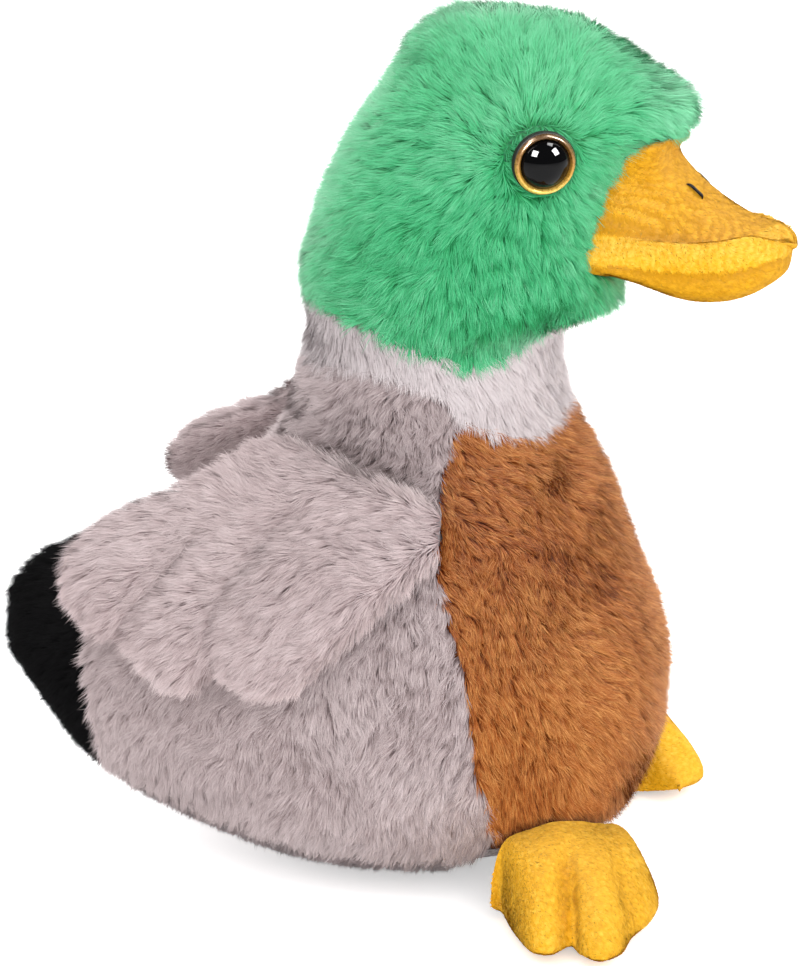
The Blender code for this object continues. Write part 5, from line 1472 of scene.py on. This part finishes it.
def make_camera():
    """The photograph's camera."""
    data = bpy.data.cameras.new("photo_camera")
    data.lens = CAMERA_LENS
    data.clip_start, data.clip_end = 0.05, 20
    camera = linked("photo_camera", data)
    away = Vector(TO_CAMERA)
    camera.location = Vector(CAMERA_TARGET) + away * CAMERA_DISTANCE
    camera.rotation_euler = (-away).to_track_quat("-Z", "Y").to_euler()
    bpy.context.scene.camera = camera


def area_lamp(name, place, size, power, at=(0.0, 0.0, 0.08), gloss=False):
    """A square softbox. One for gloss is seen only in reflections, the others only light things."""
    data = bpy.data.lights.new(name, "AREA")
    data.shape = "SQUARE"
    data.size = size
    data.energy = power
    lamp = linked(name, data)
    lamp.location = place
    lamp.rotation_euler = (Vector(at) - Vector(place)).to_track_quat("-Z", "Y").to_euler()
    lamp.visible_diffuse = not gloss
    lamp.visible_glossy = gloss


def catch_light(name, across, above, size, power):
    """A small window of light that the right eye shows at that place, in metres from its middle."""
    place, facing = (world(v) for v in eye_place(RIGHT))
    right = unit(np.cross(UP, TO_CAMERA))
    up = np.cross(TO_CAMERA, right)
    centre = facing * DOME_CENTRE
    x = (across - centre @ right) / DOME_BALL
    y = (above - centre @ up) / DOME_BALL
    normal = right * x + up * y + TO_CAMERA * math.sqrt(max(1 - x * x - y * y, 0.0))
    to_lamp = 2 * (normal @ TO_CAMERA) * normal - TO_CAMERA
    area_lamp(name, place + to_lamp * CATCH_DISTANCE, size, power, place, True)


def light_path(tree):
    """What kind of ray meets a surface, and whether it comes from the camera, also through glass."""
    path = add_node(tree, "ShaderNodeLightPath").outputs
    seen = add_node(tree, "ShaderNodeMath", {"operation": "MAXIMUM"},
                    i0=path["Is Camera Ray"], i1=path["Is Transmission Ray"])
    return path, seen.outputs[0]


FLOOR_HALF = 6.0
FLOOR_DROP = 0.0003
# How brightly the white sweep shows by itself, and the studio's walls light things and show in gloss
SWEEP_GLOW = 0.45
WALL_LIGHT = 1.18
WALL_GLOSS = 0.12
# Softboxes: name, place, width in metres and power in watts
SOFTBOXES = (
    ("camera_side_softbox", (-1.10, -0.45, 0.75), 0.9, 8.5),
    ("front_softbox", (0.15, -1.15, 0.60), 0.9, 3.2),
    ("top_softbox", (0.0, 0.1, 1.2), 0.9, 2.0),
    ("back_softbox", (0.6, 0.9, 0.5), 0.9, 4.5),
    ("far_side_softbox", (1.0, -0.5, 0.8), 0.9, 4.0),
)
# Windows seen in the eye: name, place across and above its middle in fifths of a millimetre, and the
# same as above
WINDOWS = (
    ("right_window", 10, 11, 0.24, 26.0), ("left_window", -9, 9, 0.24, 26.0),
    ("right_high_window", 5, 18, 0.18, 3.0), ("left_high_window", -10, 17, 0.18, 3.0),
)
FIFTH = 0.0002
CATCH_DISTANCE = 0.6


def make_stage():
    """A white sweep, and soft studio light from the camera's side, the front and above."""
    corners = [(x * FLOOR_HALF, y * FLOOR_HALF, 0) for x, y in ((-1, -1), (1, -1), (1, 1), (-1, 1))]
    mesh = bpy.data.meshes.new("floor")
    mesh.from_pydata(corners, [], [(0, 1, 2, 3)])
    floor = linked("floor", mesh)
    floor.location = (0, 0, -FLOOR_DROP)
    # Matt white paper with a glow of its own, so that it shows as the photograph's empty white ground
    made, tree, shader = new_material("white_paper_sweep")
    glow = add_node(tree, "ShaderNodeMath", {"operation": "MULTIPLY"}, i0=light_path(tree)[1],
                    i1=SWEEP_GLOW)
    feed(tree, shader, Base_Color=linear("#f4f4f4"), Roughness=0.9, Emission_Color=(1, 1, 1, 1),
         Emission_Strength=glow.outputs[0])
    mesh.materials.append(made)

    sky = bpy.data.worlds.new("studio")
    bpy.context.scene.world = sky
    sky.use_nodes = True
    tree = sky.node_tree
    path, seen = light_path(tree)
    lit = add_node(tree, "ShaderNodeMapRange", Value=path["Is Glossy Ray"], i3=WALL_LIGHT, i4=WALL_GLOSS)
    strength = add_node(tree, "ShaderNodeMath", {"operation": "MAXIMUM"}, i0=lit.outputs[0], i1=seen)
    feed(tree, tree.nodes["Background"], Color=(1, 1, 1, 1), Strength=strength.outputs[0])

    for name, place, size, power in SOFTBOXES:
        area_lamp(name, place, size, power)
    for name, across, above, size, power in WINDOWS:
        catch_light(name, across * FIFTH, above * FIFTH, size, power)


def main():
    rng = np.random.default_rng(7)
    make_camera()
    make_body_cloth()
    make_ring_cloths()
    make_hull_pile(rng)
    make_bill(rng)
    make_eyes()
    make_wings(rng)
    make_feet(rng)
    make_stage()
    bpy.context.scene.view_settings.view_transform = "Standard"


main()
